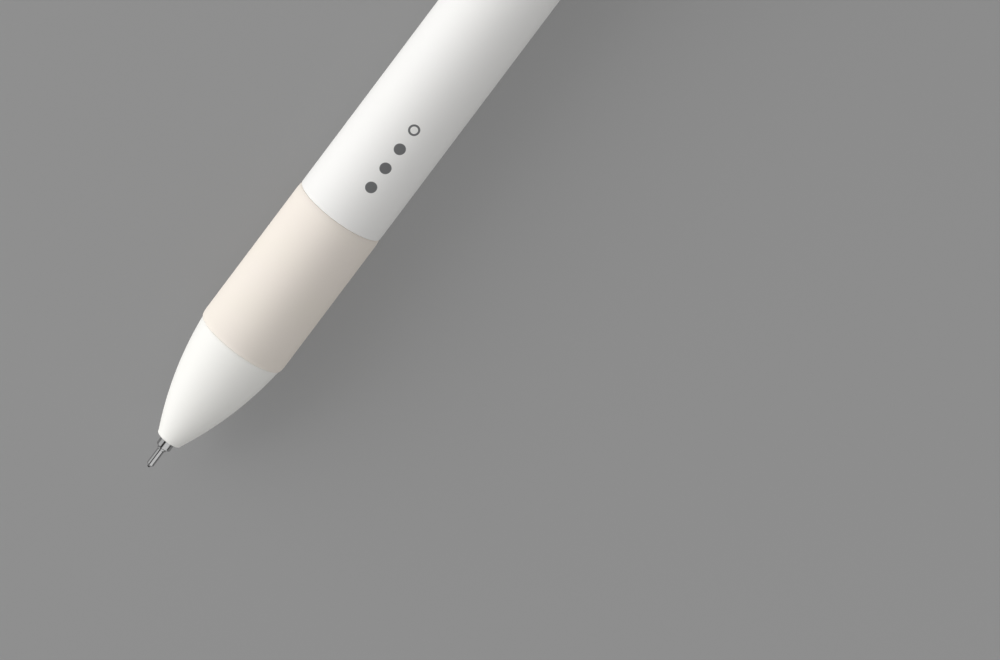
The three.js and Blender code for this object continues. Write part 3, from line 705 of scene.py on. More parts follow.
def front_barrel_outline():
    """From the core's front under the grip, back along the outside, and forward inside."""
    start, end = FRONT_BARREL_START, FRONT_BARREL_END
    core = [(GRIP_FRONT, CORE_BORE), (GRIP_FRONT, CORE_RADIUS), (start, CORE_RADIUS)]
    front = front_round(start, BARREL_RADIUS, FRONT_EDGE)
    rear = rear_round(end, BARREL_RADIUS, REAR_EDGE, steps=4)
    inside = [(end, BARREL_BORE), (start + CORE_STEP, BARREL_BORE), (start + CORE_STEP / 2, CORE_BORE)]
    return core + front + rear + inside


barrel_front = turned("barrel_front", front_barrel_outline(), shut=True)
dress(barrel_front, printed_white, "front_body", ["front_barrel"], sharp=50)

# %% [markdown]
# Slots, blocks and knobs start as bars: a cube set to its length, width and height, whose upright
# edges are rounded by an edge bevel. A Boolean modifier then cuts one shape from another or joins
# them, and a Bevel modifier breaks the sharp edges that are left. A cutter stands a little past what
# it cuts, and shaves a hair off where two faces would else lie in one plane.

# %% Bars


def bar(name, front, rear, low, high, width, corner=0.0, steps=5):
    """A bar between two places and two heights over the axis, with rounded upright edges."""
    bpy.ops.object.select_all(action="DESELECT")
    bpy.ops.mesh.primitive_cube_add(size=1)
    piece = bpy.context.object
    piece.name = name
    piece.scale = ((rear - front) * MM, width * MM, (high - low) * MM)
    piece.location = (along((front + rear) / 2), AXIS_Y, AXIS_Z + (low + high) / 2 * MM)
    bpy.ops.object.transform_apply(location=True, rotation=True, scale=True)
    if corner:
        bpy.ops.object.mode_set(mode="EDIT")
        bpy.ops.mesh.select_all(action="DESELECT")
        bpy.ops.object.mode_set(mode="OBJECT")
        for edge in piece.data.edges:
            one, other = (piece.data.vertices[v].co for v in edge.vertices)
            edge.select = abs(one.z - other.z) > abs(one.x - other.x) + abs(one.y - other.y)
        bpy.ops.object.mode_set(mode="EDIT")
        bpy.ops.mesh.select_mode(type="EDGE")
        bpy.ops.mesh.bevel(offset=corner * MM, segments=steps, affect="EDGES")
        bpy.ops.mesh.select_mode(type="VERT")
        bpy.ops.object.mode_set(mode="OBJECT")
    return piece


# %% Cuts and soft edges
CUTTER_PAST, SHAVE = 1, 0.01


def modify(piece, kind, **settings):
    """Adds a modifier with these settings and applies it."""
    modifier = piece.modifiers.new(kind.lower(), kind)
    for key, value in settings.items():
        setattr(modifier, key, value)
    pick(piece)
    bpy.ops.object.modifier_apply(modifier=modifier.name)


def boolean(piece, other, operation):
    """Cuts, joins or crops by another piece, and removes the other."""
    modify(piece, "BOOLEAN", operation=operation, solver="EXACT", object=other)
    bpy.data.objects.remove(other)


def soften(piece, width, steps=2, angle=40):
    """Rounds every edge that is sharper than this angle."""
    limit = {"limit_method": "ANGLE", "angle_limit": radians(angle)}
    modify(piece, "BEVEL", width=width * MM, segments=steps, **limit)
    edit_all()
    bpy.ops.mesh.dissolve_degenerate(threshold=SAME_POINT)
    bpy.ops.object.mode_set(mode="OBJECT")


# %% [markdown]
# The rear barrel is the same tube with four long slots, in which the knobs run. Faces could be
# deleted for a slot, but its round ends don't follow the tube's faces. So one rounded bar is copied
# round the axis, and each copy cuts a slot. A ring of points stands close to the slots' ends, so
# that what a cut does to the shading stays there.

# %% Rear barrel
REAR_START, REAR_END = FRONT_BARREL_END + SEAM_GAP, back_of("rear_barrel")[1]
SLOT_START, SLOT_END, SLOT_WIDTH, SLOT_CORNER, SLOT_EDGE = 109.42, 126.52, 2.6, 0.8, 0.12
SLOT_LOW, SLOT_HIGH, SLOT_RING = 4.5, 8.2, 0.3

ring_places = REAR_START, SLOT_START - SLOT_RING, SLOT_END + SLOT_RING, REAR_END
rear_outline = [(place, BARREL_RADIUS) for place in ring_places]
rear_outline += [(place, BARREL_BORE) for place in reversed(ring_places)]
barrel_rear = turned("barrel_rear", rear_outline, shut=True)
slot_bar = bar("slot_bar", SLOT_START, SLOT_END, SLOT_LOW, SLOT_HIGH, SLOT_WIDTH, SLOT_CORNER)
for station in STATION_TURN:
    boolean(barrel_rear, settle(copy_of(slot_bar, "slot"), station), "DIFFERENCE")
bpy.data.objects.remove(slot_bar)
soften(barrel_rear, SLOT_EDGE, angle=50)
dress(barrel_rear, plain_white, "rear_body", ["rear_barrel"], sharp=40)

# %% [markdown]
# The end cap covers the eraser and pulls off. A cylinder could be hollowed by an inset and an
# extrude, but the outline of a cup gives the hollow, the softly rounded rear edge and the flat end
# in one turning.

# %% End cap
CAP_START, CAP_END = back_of("end_cap")
CAP_REAR, CAP_BORE, CAP_WALL, CAP_EDGE, CAP_RIM, CAP_TURN = 6.35, 4.85, 1.4, 1.2, 0.15, 85


def end_cap_outline():
    """From the middle of the cup's floor round its rim to the middle of its end."""
    inside = [(CAP_END - CAP_WALL, 0), (CAP_END - CAP_WALL, CAP_BORE), (CAP_START, CAP_BORE)]
    front = front_round(CAP_START, BARREL_RADIUS, CAP_RIM, steps=3)
    rear = rear_round(CAP_END, CAP_REAR, CAP_EDGE, start=CAP_TURN, steps=12)
    return inside + front + rear + [(CAP_END, 0)]


end_button = turned("end_button", end_cap_outline())
dress(end_button, plain_white, "cap", ["end_cap"], sharp=50)

# %% [markdown]
# The eraser and its socket are under the cap, and show when it is pulled off. The eraser is a short
# stick with a worn round end, and the socket is plugged into the rear barrel. A bevelled cylinder
# would do for the eraser, but the socket has a pocket in front and a bore behind, so both are
# turned.

# %% Eraser and socket
ERASER_START, ERASER_END = back_of("eraser")
ERASER_RADIUS, ERASER_ROUND = 2.45, 0.5
HOLDER_START, HOLDER_END = back_of("eraser_holder")
HOLDER_PLUG, HOLDER_NECK, HOLDER_EDGE, SOCKET_RADIUS, SOCKET_FLOOR = 5.35, 4.6, 0.3, 2.7, 0.3
POST_POCKET_RADIUS, POST_POCKET_DEPTH = 0.9, 1.5

worn_end = rear_round(ERASER_END, ERASER_RADIUS, ERASER_ROUND)
eraser_outline = [(ERASER_START, 0), (ERASER_START, ERASER_RADIUS)] + worn_end + [(ERASER_END, 0)]
eraser_stick = turned("eraser_stick", eraser_outline, sides=64)
dress(eraser_stick, eraser_rubber, "rear_body", ["eraser"])

pocket_floor, socket_floor = HOLDER_START + POST_POCKET_DEPTH, ERASER_START - SOCKET_FLOOR
holder_outline = [
    (pocket_floor, 0), (pocket_floor, POST_POCKET_RADIUS), (HOLDER_START, POST_POCKET_RADIUS),
    *front_round(HOLDER_START, HOLDER_PLUG, HOLDER_EDGE, steps=1), (REAR_END, HOLDER_PLUG),
    (REAR_END, HOLDER_NECK), *rear_round(HOLDER_END, HOLDER_NECK, HOLDER_EDGE, steps=1),
    (HOLDER_END, SOCKET_RADIUS), (socket_floor, SOCKET_RADIUS), (socket_floor, 0),
]
eraser_socket = turned("eraser_socket", holder_outline, sides=96)
dress(eraser_socket, inner_plastic, "rear_body", ["eraser_holder"])

# %% [markdown]
# The guide is the insert that joins the two halves: a ridged end in front for the barrel's thread,
# and a plate behind with a bore for each plunger. A Screw modifier could wind a true thread, but a
# few shallow turns look just like plain ridges, which are part of the outline. The bores are drilled
# with one turned rod that is copied to each station.

# %% Guide
GUIDE_START, GUIDE_END = back_of("guide")
GUIDE_OUTER, THREAD_ROOT, GUIDE_BORE, PLATE = 5.35, 5.05, 4.35, 3.5
THREAD_RIDGES, THREAD_PITCH, THREAD_LEAD, RIDGE_RISE, RIDGE_TOP = 5, 1.54, 0.3, 0.45, 0.3
PLUNGER_BORE, POST_SEAT_RADIUS, POST_SEAT_DEPTH = 1.25, 0.9, 1.8


def guide_outline():
    """From the plate's front face out to the bore, back over the thread, and in to the post's seat."""
    plate_front, seat_floor = GUIDE_END - PLATE, GUIDE_END - POST_SEAT_DEPTH
    bore = [(plate_front, 0), (plate_front, GUIDE_BORE), (GUIDE_START, GUIDE_BORE)]
    thread = [(GUIDE_START, THREAD_ROOT)]
    for i in range(THREAD_RIDGES):
        foot = GUIDE_START + THREAD_LEAD + THREAD_PITCH * i
        crest = foot + RIDGE_RISE
        thread += [(foot, THREAD_ROOT), (crest, GUIDE_OUTER), (crest + RIDGE_TOP, GUIDE_OUTER)]
        thread += [(crest + RIDGE_TOP + RIDGE_RISE, THREAD_ROOT)]
    body = [(REAR_START, THREAD_ROOT), (REAR_START + THREAD_LEAD, GUIDE_OUTER), (GUIDE_END, GUIDE_OUTER)]
    seat = [(GUIDE_END, POST_SEAT_RADIUS), (seat_floor, POST_SEAT_RADIUS), (seat_floor, 0)]
    return bore + thread + body + seat


guide_insert = turned("guide_insert", guide_outline(), sides=96)
bore_length = PLATE + CUTTER_PAST
drill = turned("drill", [(0, 0), (0, PLUNGER_BORE), (bore_length, PLUNGER_BORE), (bore_length, 0)], sides=48)
for station in STATION_TURN:
    bore = settle(copy_of(drill, "bore"), station, GUIDE_END - PLATE - CUTTER_PAST / 2, REFILL_OFFSET)
    boolean(guide_insert, bore, "DIFFERENCE")
bpy.data.objects.remove(drill)
dress(guide_insert, inner_plastic, "rear_body", ["guide"])

# %% [markdown]
# The post stands in the guide's plate and carries the latch collar, which is turned from one piece
# with it and holds a slider that was pushed forward. Two cylinders and a cone could be joined, but
# one outline gives the steps and the taper with nothing to cut.

# %% Latch post
POST_START, POST_END = back_of("latch_post")
POST_RADIUS, POST_EDGE = 0.65, 0.15
COLLAR_START, COLLAR_END, COLLAR_RADIUS, COLLAR_TAPER, COLLAR_EDGE = 119.02, 121.02, 1.5, 1.0, 0.1

post_outline = [
    (POST_START, 0), *front_round(POST_START, POST_RADIUS, POST_EDGE, steps=1), (COLLAR_START, POST_RADIUS),
    *front_round(COLLAR_START, COLLAR_RADIUS, COLLAR_EDGE, steps=1), (COLLAR_END, COLLAR_RADIUS),
    (COLLAR_END + COLLAR_TAPER, POST_RADIUS), *rear_round(POST_END, POST_RADIUS, POST_EDGE, steps=1),
    (POST_END, 0),
]
post = turned("post", post_outline, sides=48)
dress(post, steel, "rear_body", ["latch_post"])

# %% [markdown]
# Knobs and clips are easiest to draw from the side. Carved from a cube they would need a cut for
# each curve, so a side view is a filled outline that is extruded to its width, as by hand. Its bends
# are soft lines: a curve from stop to stop that is level at each.

# %% Side views
BEND_STEPS = 8


def side_cut(name, outline, width):
    """A piece with this side view of (place, height) points, as wide as given, centred on the axis."""
    side = AXIS_Y - width / 2 * MM
    points = [Vector((along(place), side, AXIS_Z + height * MM)) for place, height in outline]
    piece = start_point(points[0])
    draw_line(points + points[:1])
    bpy.ops.mesh.select_all(action="SELECT")
    bpy.ops.mesh.remove_doubles(threshold=SAME_POINT)
    bpy.ops.mesh.edge_face_add()
    bpy.ops.mesh.extrude_region_move(TRANSFORM_OT_translate={"value": (0, width * MM, 0)})
    return face_outwards(piece, name)


def eased(share):
    """A share from 0 to 1 that starts and ends softly."""
    return share * share * (3 - 2 * share)


def soft_line(stops):
    """Points from stop to stop of a curve that is level at each stop."""
    line = stops[:1]
    for (place, height), (next_place, next_height) in zip(stops, stops[1:]):
        for share in (i / BEND_STEPS for i in range(1, BEND_STEPS + 1)):
            line.append((part_way(place, next_place, share), part_way(height, next_height, eased(share))))
    return line


def drum(outline):
    """A turned solid that crops a piece to a height round the axis."""
    (front, _), (rear, _) = outline[0], outline[-1]
    return turned("drum", [(front, 0)] + outline + [(rear, 0)])


# %% [markdown]
# A slider is one moulding: a block that runs inside the barrel, a neck through the slot and a knob
# for the thumb. The knob's side view has a rounded ridge in front, a slope, and grooves for the
# thumb. A rounded bar crops it in plan, and a turned drum gives its top the barrel's own roundness,
# which a subdivided cube would only come near. One slider is made and copied for the three inks.

# %% The knob's side view
KNOB_LOW, KNOB_TOP, KNOB_PAD, KNOB_REAR = 7.0, 8.15, 7.7, 7.35
KNOB_WIDTH, KNOB_LENGTH, KNOB_SETBACK, KNOB_CORNER, KNOB_EDGE = 3.0, 10.0, 0.5, 0.9, 0.07
RIDGE_ROUND, RIDGE_LENGTH, SLOPE_LENGTH, HEEL_LENGTH = 0.5, 1.9, 1.5, 1.0
GROOVES, GROOVE_START, GROOVE_STEP, GROOVE_RADIUS, GROOVE_DEPTH = 4, 4.3, 1.05, 0.3, 0.18


def knob_outline():
    """The knob's side view: a ridge in front, a slope, grooves, and a soft end."""
    front, rear = KNOB_SETBACK, KNOB_SETBACK + KNOB_LENGTH
    ridge = front_round(front, KNOB_TOP, RIDGE_ROUND)
    ridge_rear = front + RIDGE_LENGTH
    slope = soft_line([(ridge_rear, KNOB_TOP), (ridge_rear + SLOPE_LENGTH, KNOB_PAD)])
    grooves = []
    for i in range(GROOVES):
        groove = (front + GROOVE_START + GROOVE_STEP * i, KNOB_PAD)
        grooves += arc(groove, (GROOVE_RADIUS, GROOVE_DEPTH), 0, -180)
    heel = arc((rear - HEEL_LENGTH, KNOB_REAR), (HEEL_LENGTH, KNOB_PAD - KNOB_REAR), 90, 180)
    return [(front, KNOB_LOW)] + ridge + slope + grooves + heel + [(rear, KNOB_LOW)]


# %% Sliders
BLOCK_LOW, BLOCK_HIGH, BLOCK_WIDTH, BLOCK_LENGTH, BLOCK_CORNER = 1.75, 5.187, 3.0, 11.0, 0.3
NECK_SETBACK, NECK_LENGTH, NECK_WIDTH, NECK_CORNER, OVERLAP = 2.0, 7.0, 2.0, 0.4, 0.2

carriage = bar("carriage", 0, BLOCK_LENGTH, BLOCK_LOW, BLOCK_HIGH, BLOCK_WIDTH, BLOCK_CORNER)
neck_ends = NECK_SETBACK, NECK_SETBACK + NECK_LENGTH
neck = bar("neck", *neck_ends, BLOCK_HIGH - OVERLAP, KNOB_LOW + OVERLAP, NECK_WIDTH, NECK_CORNER)
boolean(carriage, neck, "UNION")

knob = side_cut("knob", knob_outline(), KNOB_WIDTH)
knob_ends = KNOB_SETBACK, KNOB_SETBACK + KNOB_LENGTH
past_knob = KNOB_LOW - CUTTER_PAST, KNOB_TOP + CUTTER_PAST
crown = KNOB_TOP - SHAVE
boolean(knob, bar("plan", *knob_ends, *past_knob, KNOB_WIDTH - SHAVE, KNOB_CORNER), "INTERSECT")
boolean(knob, drum([(-CUTTER_PAST, crown), (BLOCK_LENGTH + CUTTER_PAST, crown)]), "INTERSECT")
slider = copy_of(carriage, "slider")
boolean(slider, knob, "UNION")
soften(slider, KNOB_EDGE)
for ink in INKS:
    made = settle(copy_of(slider, f"knob_{ink}"), ink, back_of(f"slider_{ink}")[0])
    dress(made, knob_plastic[ink], f"{ink}_slider", [f"slider_{ink}"], sharp=30)
bpy.data.objects.remove(slider)

# %% [markdown]
# The clip is also the pencil's knob. It is an arm on a saddle, bent in and lifted again at its toe
# so that cloth slides under it. The pencil's slider could be modelled anew, but its block and neck
# are those of the ink sliders, so only the saddle is new: a bar that is joined to the same carriage.

# %% Saddle
SADDLE_TOP, SADDLE_WIDTH, SADDLE_CORNER, SADDLE_EDGE = 8.1, 4.2, 0.8, 0.14

saddle_ends = KNOB_SETBACK, length_of("slider_pencil")
boolean(carriage, bar("saddle", *saddle_ends, KNOB_LOW, SADDLE_TOP, SADDLE_WIDTH, SADDLE_CORNER), "UNION")
soften(carriage, SADDLE_EDGE)
carriage.name = "pencil_carriage"
settle(carriage, "pencil", back_of("slider_pencil")[0])
dress(carriage, plain_white, "pencil_slider", ["slider_pencil"], sharp=30)

# %% [markdown]
# The arm's side view gives its bends, one rounded bar crops the toe in plan and another the rear
# corners, and a drum that follows its back makes it round across, like the barrel. A flat strip could
# be bent by a modifier too, but it would stay flat across.

# %% Clip
CLIP_START, CLIP_END = back_of("clip")
CLIP_UNDER, CLIP_OVER, CLIP_WIDTH, CLIP_REAR_CORNER, CLIP_EDGE = 8.35, 9.5, 5.0, 1.3, 0.28
TOE_LIFT, TOE_LENGTH, DIP_PLACE, DIP_DEPTH = 0.2, 10, 3.5, 0.35
PAD_LEAD, PAD_REAR, PAD_FRONT, PAD_HEIGHT = 8.5, 4.2, 2.8, 7.05
REAR_ROUND, REAR_TURN, CROP_LOW, CROP_HIGH, CROP_PAST = 0.8, 172, 6.0, 11.0, 5


def from_toe(stops):
    """Soft bends through stops that are measured from the clip's toe."""
    return [(CLIP_START + place, height) for place, height in soft_line(stops)]


def clip_back():
    """The line of the clip's back, from its lifted toe to its rear edge."""
    toe = from_toe([(0, CLIP_OVER + TOE_LIFT), (DIP_PLACE, CLIP_OVER - DIP_DEPTH), (TOE_LENGTH, CLIP_OVER)])
    return toe + rear_round(CLIP_END, CLIP_OVER, REAR_ROUND, end=REAR_TURN, steps=9)


def clip_underside():
    """The line of its underside, from the rear edge to the pad that presses on the barrel, and the toe."""
    pad = [(PAD_LEAD, CLIP_UNDER), (PAD_REAR, PAD_HEIGHT), (PAD_FRONT, PAD_HEIGHT)]
    return [(CLIP_END, CLIP_UNDER)] + from_toe(pad + [(0, CLIP_UNDER + TOE_LIFT)])


clip_arm = side_cut("clip_arm", clip_back() + clip_underside(), CLIP_WIDTH + 2 * CUTTER_PAST)
toe_size = CROP_LOW, CROP_HIGH, CLIP_WIDTH, CLIP_WIDTH / 2 - SHAVE
rear_size = CROP_LOW, CROP_HIGH, CLIP_WIDTH + SHAVE, CLIP_REAR_CORNER
toe_plan = bar("toe_plan", CLIP_START, CLIP_END + CROP_PAST, *toe_size, steps=10)
rear_plan = bar("rear_plan", CLIP_START - CROP_PAST, CLIP_END, *rear_size)
back_drum = drum([(place, height - 2 * SHAVE) for place, height in clip_back()])
for cutter in (toe_plan, rear_plan, back_drum):
    boolean(clip_arm, cutter, "INTERSECT")
soften(clip_arm, CLIP_EDGE, steps=3)
settle(clip_arm, "pencil")
dress(clip_arm, plain_white, "clip_arm", ["clip"], sharp=30)

# %% [markdown]
# The plungers are plain moulded rods with a plug at each end. A refill's tube is pushed on the front
# plug, and the rear one sits in the slider's block. A cylinder could be extruded step by step, but
# an outline gives the plugs and the tapers at once, and one turned rod is copied to the four
# stations.

# %% Plungers
PLUNGER_RADIUS, PLUG_RADIUS, PLUG_LENGTH, STUB_LENGTH, PLUG_TAPER, ROD_EDGE = 1.0, 0.65, 4.3, 3.2, 0.3, 0.1
PLUNGER_LENGTH = length_of("plunger_blue")

rod_end = PLUNGER_LENGTH - STUB_LENGTH
rod_outline = [
    (0, 0), (0, PLUG_RADIUS - POST_EDGE), (PLUG_TAPER, PLUG_RADIUS), (PLUG_LENGTH, PLUG_RADIUS),
    *front_round(PLUG_LENGTH, PLUNGER_RADIUS, ROD_EDGE, steps=1),
    *rear_round(rod_end, PLUNGER_RADIUS, ROD_EDGE, steps=1),
    (rod_end, PLUG_RADIUS), (PLUNGER_LENGTH, PLUG_RADIUS), (PLUNGER_LENGTH, 0),
]
rod = turned("rod", rod_outline, sides=40)
for station in STATION_TURN:
    node = f"plunger_{station}"
    made = settle(copy_of(rod, f"rod_{station}"), station, back_of(node)[0], REFILL_OFFSET)
    dress(made, inner_plastic, f"{station}_slider", [node])
bpy.data.objects.remove(rod)

# %% [markdown]
# A coil spring is one wire. A curve with a round bevel could be the wire, but its points would have
# to be worked out. So a small circle is placed beside the spring's axis, and a Screw modifier winds
# it into the coil, whose two ends are then filled. Three springs are at rest and one is pressed
# together, so two are wound, and the open one is copied.

# %% Springs
SPRING_WIRE, SPRING_RADIUS, SPRING_TURNS = 0.35, 1.425, 8
WIRE_SIDES, COIL_STEPS = 10, 24


def coil(name, length, radius, wire, turns):
    """A coil of round wire on the pen's axis, with its front at place 0."""
    bpy.ops.object.select_all(action="DESELECT")
    bpy.ops.mesh.primitive_circle_add(vertices=WIRE_SIDES, radius=wire / 2 * MM, rotation=(pi / 2, 0, 0))
    piece = bpy.context.object
    bpy.ops.object.transform_apply(location=False, rotation=True, scale=True)
    edit_all()
    bpy.ops.transform.translate(value=(0, 0, radius * MM))
    bpy.ops.object.mode_set(mode="OBJECT")
    winding = {"axis": "X", "iterations": turns, "screw_offset": (wire - length) / turns * MM}
    modify(piece, "SCREW", steps=COIL_STEPS, render_steps=COIL_STEPS, **winding)
    piece.location = (along(wire / 2), AXIS_Y, AXIS_Z)
    bpy.ops.object.transform_apply(location=True, rotation=True, scale=True)
    edit_all()
    bpy.ops.mesh.fill_holes(sides=WIRE_SIDES)
    return face_outwards(piece, name)


for stations in (["black"], ["blue", "red", "pencil"]):
    front, rear = back_of(f"spring_{stations[0]}")
    wound = coil("wound", rear - front, SPRING_RADIUS, SPRING_WIRE, SPRING_TURNS)
    for station in stations:
        made = settle(copy_of(wound, f"coil_{station}"), station, front, REFILL_OFFSET)
        bodies = "rear_body", f"{station}_slider"
        dress(made, wire_steel, bodies, [f"spring_{station}"], bend=(front, rear))
    bpy.data.objects.remove(wound)

# %% [markdown]
# A gel point is one steel turning. Its needle ends in a cone that holds the ball, and behind the
# needle it swells to the base, which fills the nose's hole. The extended one shows in the photo: a
# fine groove and a collar behind the needle, a rounded base, and a dark ball at the very end.
# Cylinders and a cone could be stacked for it, but every step shows so close, so the outline follows
# them one by one. The ball is a turned piece of its own, near black: partly the ink that wets it and
# partly painted shade at the very end of the point.

# %% Gel points
BALL_RADIUS, NEEDLE_RADIUS, BASE_RADIUS, STEM_RADIUS = 0.25, 0.555, 1.12, 0.66
MOUTH_PLACE, MOUTH_RADIUS, LIP = 0.16, 0.19, 0.08
CONE_LENGTH, CONE_ROUND, CONE_BLEND, CONE_TURN = 0.62, 0.14, 0.22, 20
NEEDLE_END, GROOVE_BOTTOM, GROOVE_LONG, FACE_SLANT = 3.06, 0.5, 0.1, 0.02
COLLAR_STEEL, COLLAR_LONG, COLLAR_BREAK, COLLAR_DROP = 0.7, 0.2, 0.06, 0.03
BASE_START, BASE_ROUND, BASE_END, POINT_LENGTH = 3.5, 0.24, 9.77, 12.77


def point_outline():
    """The steel turning from the ball's socket back to the stem in the tube."""
    socket = [(MOUTH_PLACE, 0), (MOUTH_PLACE, MOUTH_RADIUS), (MOUTH_PLACE + LIP, MOUTH_RADIUS + LIP)]
    cone_end = CONE_LENGTH, NEEDLE_RADIUS - CONE_ROUND
    shoulder = arc(cone_end, (CONE_BLEND, CONE_ROUND), CONE_TURN, 90, steps=4)
    groove = [(NEEDLE_END, NEEDLE_RADIUS), (NEEDLE_END + FACE_SLANT, GROOVE_BOTTOM)]
    collar_start = NEEDLE_END + GROOVE_LONG
    collar = [(collar_start, GROOVE_BOTTOM), (collar_start + FACE_SLANT, COLLAR_STEEL - COLLAR_DROP)]
    collar += [(collar_start + COLLAR_BREAK, COLLAR_STEEL), (collar_start + COLLAR_LONG, COLLAR_STEEL)]
    base = front_round(BASE_START, BASE_RADIUS, BASE_ROUND)
    stem = [(BASE_END, BASE_RADIUS), (BASE_END, STEM_RADIUS), (POINT_LENGTH, STEM_RADIUS), (POINT_LENGTH, 0)]
    return socket + shoulder + groove + collar + base + stem


point = turned("point", point_outline(), sides=64)
half_round = arc((BALL_RADIUS, 0), (BALL_RADIUS, BALL_RADIUS), 0, 180, steps=12)
bead = turned("bead", half_round, sides=32)
for ink in INKS:
    front = back_of(f"gel_point_{ink}")[0]
    rise = 0 if ink == "black" else REFILL_OFFSET
    needle = settle(copy_of(point, f"needle_{ink}"), ink, front, rise)
    dress(needle, steel, f"{ink}_point", [f"gel_point_{ink}"], sharp=28)
    ball = settle(copy_of(bead, f"ball_{ink}"), ink, front, rise)
    dress(ball, inked_shaded_ball, f"{ink}_point", sharp=60)
for form in (point, bead):
    bpy.data.objects.remove(form)

# %% [markdown]
# A refill's tube is clear plastic round a core of gel, with a plug of pale grease behind the gel that
# keeps it from drying. Where the point is out, the tube bends in to the axis with a smooth curve. A
# Curve modifier could bend it, but moving each ring by its share keeps the tube, the gel and the
# grease in line.

# %% Outlines that can bend
TUBE_RADIUS, TUBE_BORE, CORE_FIT, RINGS = 1.175, 0.8, 0.02, 36


def ringed(front, rear, radius):
    """Points along a straight line of this radius, close enough together to bend."""
    return [(part_way(front, rear, i / RINGS), radius) for i in range(RINGS + 1)]


def tube_outline(length):
    return ringed(0, length, TUBE_RADIUS) + ringed(length, 0, TUBE_BORE)


def core_outline(front, length):
    rear = front + length
    return [(front, 0)] + ringed(front, rear, TUBE_BORE - CORE_FIT) + [(rear, 0)]


def curve_in(piece, station, bend_front, bend_rear):
    """Moves each point of a straight tube in to the pen's axis by the share that its place has."""
    turn = STATION_TURN[station]
    for vertex in piece.data.vertices:
        place = (NOSE_END - vertex.co.x) / MM
        share = min(max((place - bend_front) / (bend_rear - bend_front), 0), 1)
        inwards = (1 - eased(share)) * REFILL_OFFSET * MM
        vertex.co.y += sin(turn) * inwards
        vertex.co.z -= cos(turn) * inwards


# %% Refill tubes and gel
GEL_LENGTH, GREASE_LENGTH, GEL_GAP, PLUG_HOLD = 40.0, 4.0, 0.05, 4.0
STEM_IN_TUBE = POINT_LENGTH - (back_of("gel_tube_blue")[0] - back_of("gel_point_blue")[0])

gel_start = STEM_IN_TUBE + GEL_GAP
grease_start = gel_start + GEL_LENGTH + GEL_GAP
refill_forms = {
    "tube": turned("tube_form", tube_outline(length_of("gel_tube_blue")), sides=32, shut=True),
    "ink": turned("ink_form", core_outline(gel_start, GEL_LENGTH), sides=32),
    "grease": turned("grease_form", core_outline(grease_start, GREASE_LENGTH), sides=32),
}
for ink in INKS:
    front, rear = back_of(f"gel_tube_{ink}")
    bend = front + STEM_IN_TUBE, rear - PLUG_HOLD
    finish = {"tube": tube_plastic, "ink": gel[ink], "grease": grease}
    for part, form in refill_forms.items():
        made = settle(copy_of(form, f"{part}_{ink}"), ink, front, REFILL_OFFSET)
        if ink == "black":
            curve_in(made, ink, *bend)
        nodes = [f"gel_tube_{ink}"] if part == "tube" else []
        dress(made, finish[part], (f"{ink}_point", f"{ink}_slider"), nodes, bend=bend)
for form in refill_forms.values():
    bpy.data.objects.remove(form)

# %% [markdown]
# The pencil unit is a slim mechanism of its own: a sleeve that guides the lead, a cone, and a
# housing in which a split brass chuck grips the lead, held shut by a ring and a fine spring. The
# chuck and the lead move forward together by less than a millimetre when the pencil is clicked.
# Plain rods would do while the pen is shut, but these pieces show when its front half is off. So
# each is turned in place, from (place, radius) points that count from its own front.

# %% The pencil's tip
LEAD_BORE = 0.29
SLEEVE_RADIUS, SLEEVE_LENGTH, SLEEVE_DROP, SLEEVE_BREAK = 0.4, 2.6, 0.03, 0.05
TIP_CONE = [(2.75, 0.52), (3.5, 0.86), (4.3, 1.08), (4.5, BASE_RADIUS)]
TIP_GROOVE = [(8.0, BASE_RADIUS), (8.1, 1.04), (8.5, 1.04), (8.6, BASE_RADIUS)]
HOUSING_BORE, HOUSING_FLOOR, FLOOR_POINT, HOUSING_EDGE, HOUSING_DROP = 0.93, 4.5, 3.55, 0.1, 0.07


def placed(outline, front):
    """An outline that counts from a piece's own front, moved to its place."""
    return [(front + place, radius) for place, radius in outline]


def tip_outline(front, rear):
    """The sleeve, its cone, and the housing with one groove round it."""
    sleeve = [(0, LEAD_BORE), (0, SLEEVE_RADIUS - SLEEVE_DROP), (SLEEVE_BREAK, SLEEVE_RADIUS)]
    outside = placed(sleeve + [(SLEEVE_LENGTH, SLEEVE_RADIUS)] + TIP_CONE + TIP_GROOVE, front)
    end = [(rear - HOUSING_EDGE, BASE_RADIUS), (rear, BASE_RADIUS - HOUSING_DROP), (rear, HOUSING_BORE)]
    return outside + end + placed([(HOUSING_FLOOR, HOUSING_BORE), (FLOOR_POINT, LEAD_BORE)], front)


# %% Clutch ring, chuck and lead
CLUTCH_RADIUS, CLUTCH_BORE, CLUTCH_EDGE = 0.85, 0.7, 0.05
CHUCK_HEAD = [(0, LEAD_BORE), (0, 0.5), (0.3, 0.62), (1.2, 0.62), (1.4, 0.45)]
CHUCK_FLANGE = [(9.6, 0.45), (9.6, 0.78), (10.1, 0.78), (10.1, STEM_RADIUS)]
LEAD_RADIUS, LEAD_POINT, LEAD_CONE = 0.25, 0.15, 0.22


def clutch_outline(front, rear):
    """The clutch ring, with its outer edges broken."""
    front_edge = front_round(front, CLUTCH_RADIUS, CLUTCH_EDGE, steps=1)
    rear_edge = rear_round(rear, CLUTCH_RADIUS, CLUTCH_EDGE, steps=1)
    return [(front, CLUTCH_BORE)] + front_edge + rear_edge + [(rear, CLUTCH_BORE)]


def chuck_outline(front, rear):
    """The chuck's head, its slim legs, the flange that the spring presses, and the stem."""
    return placed(CHUCK_HEAD + CHUCK_FLANGE, front) + [(rear, STEM_RADIUS), (rear, LEAD_BORE)]


def lead_outline(front, rear):
    return [(front, 0), (front, LEAD_POINT), (front + LEAD_CONE, LEAD_RADIUS), (rear, LEAD_RADIUS), (rear, 0)]


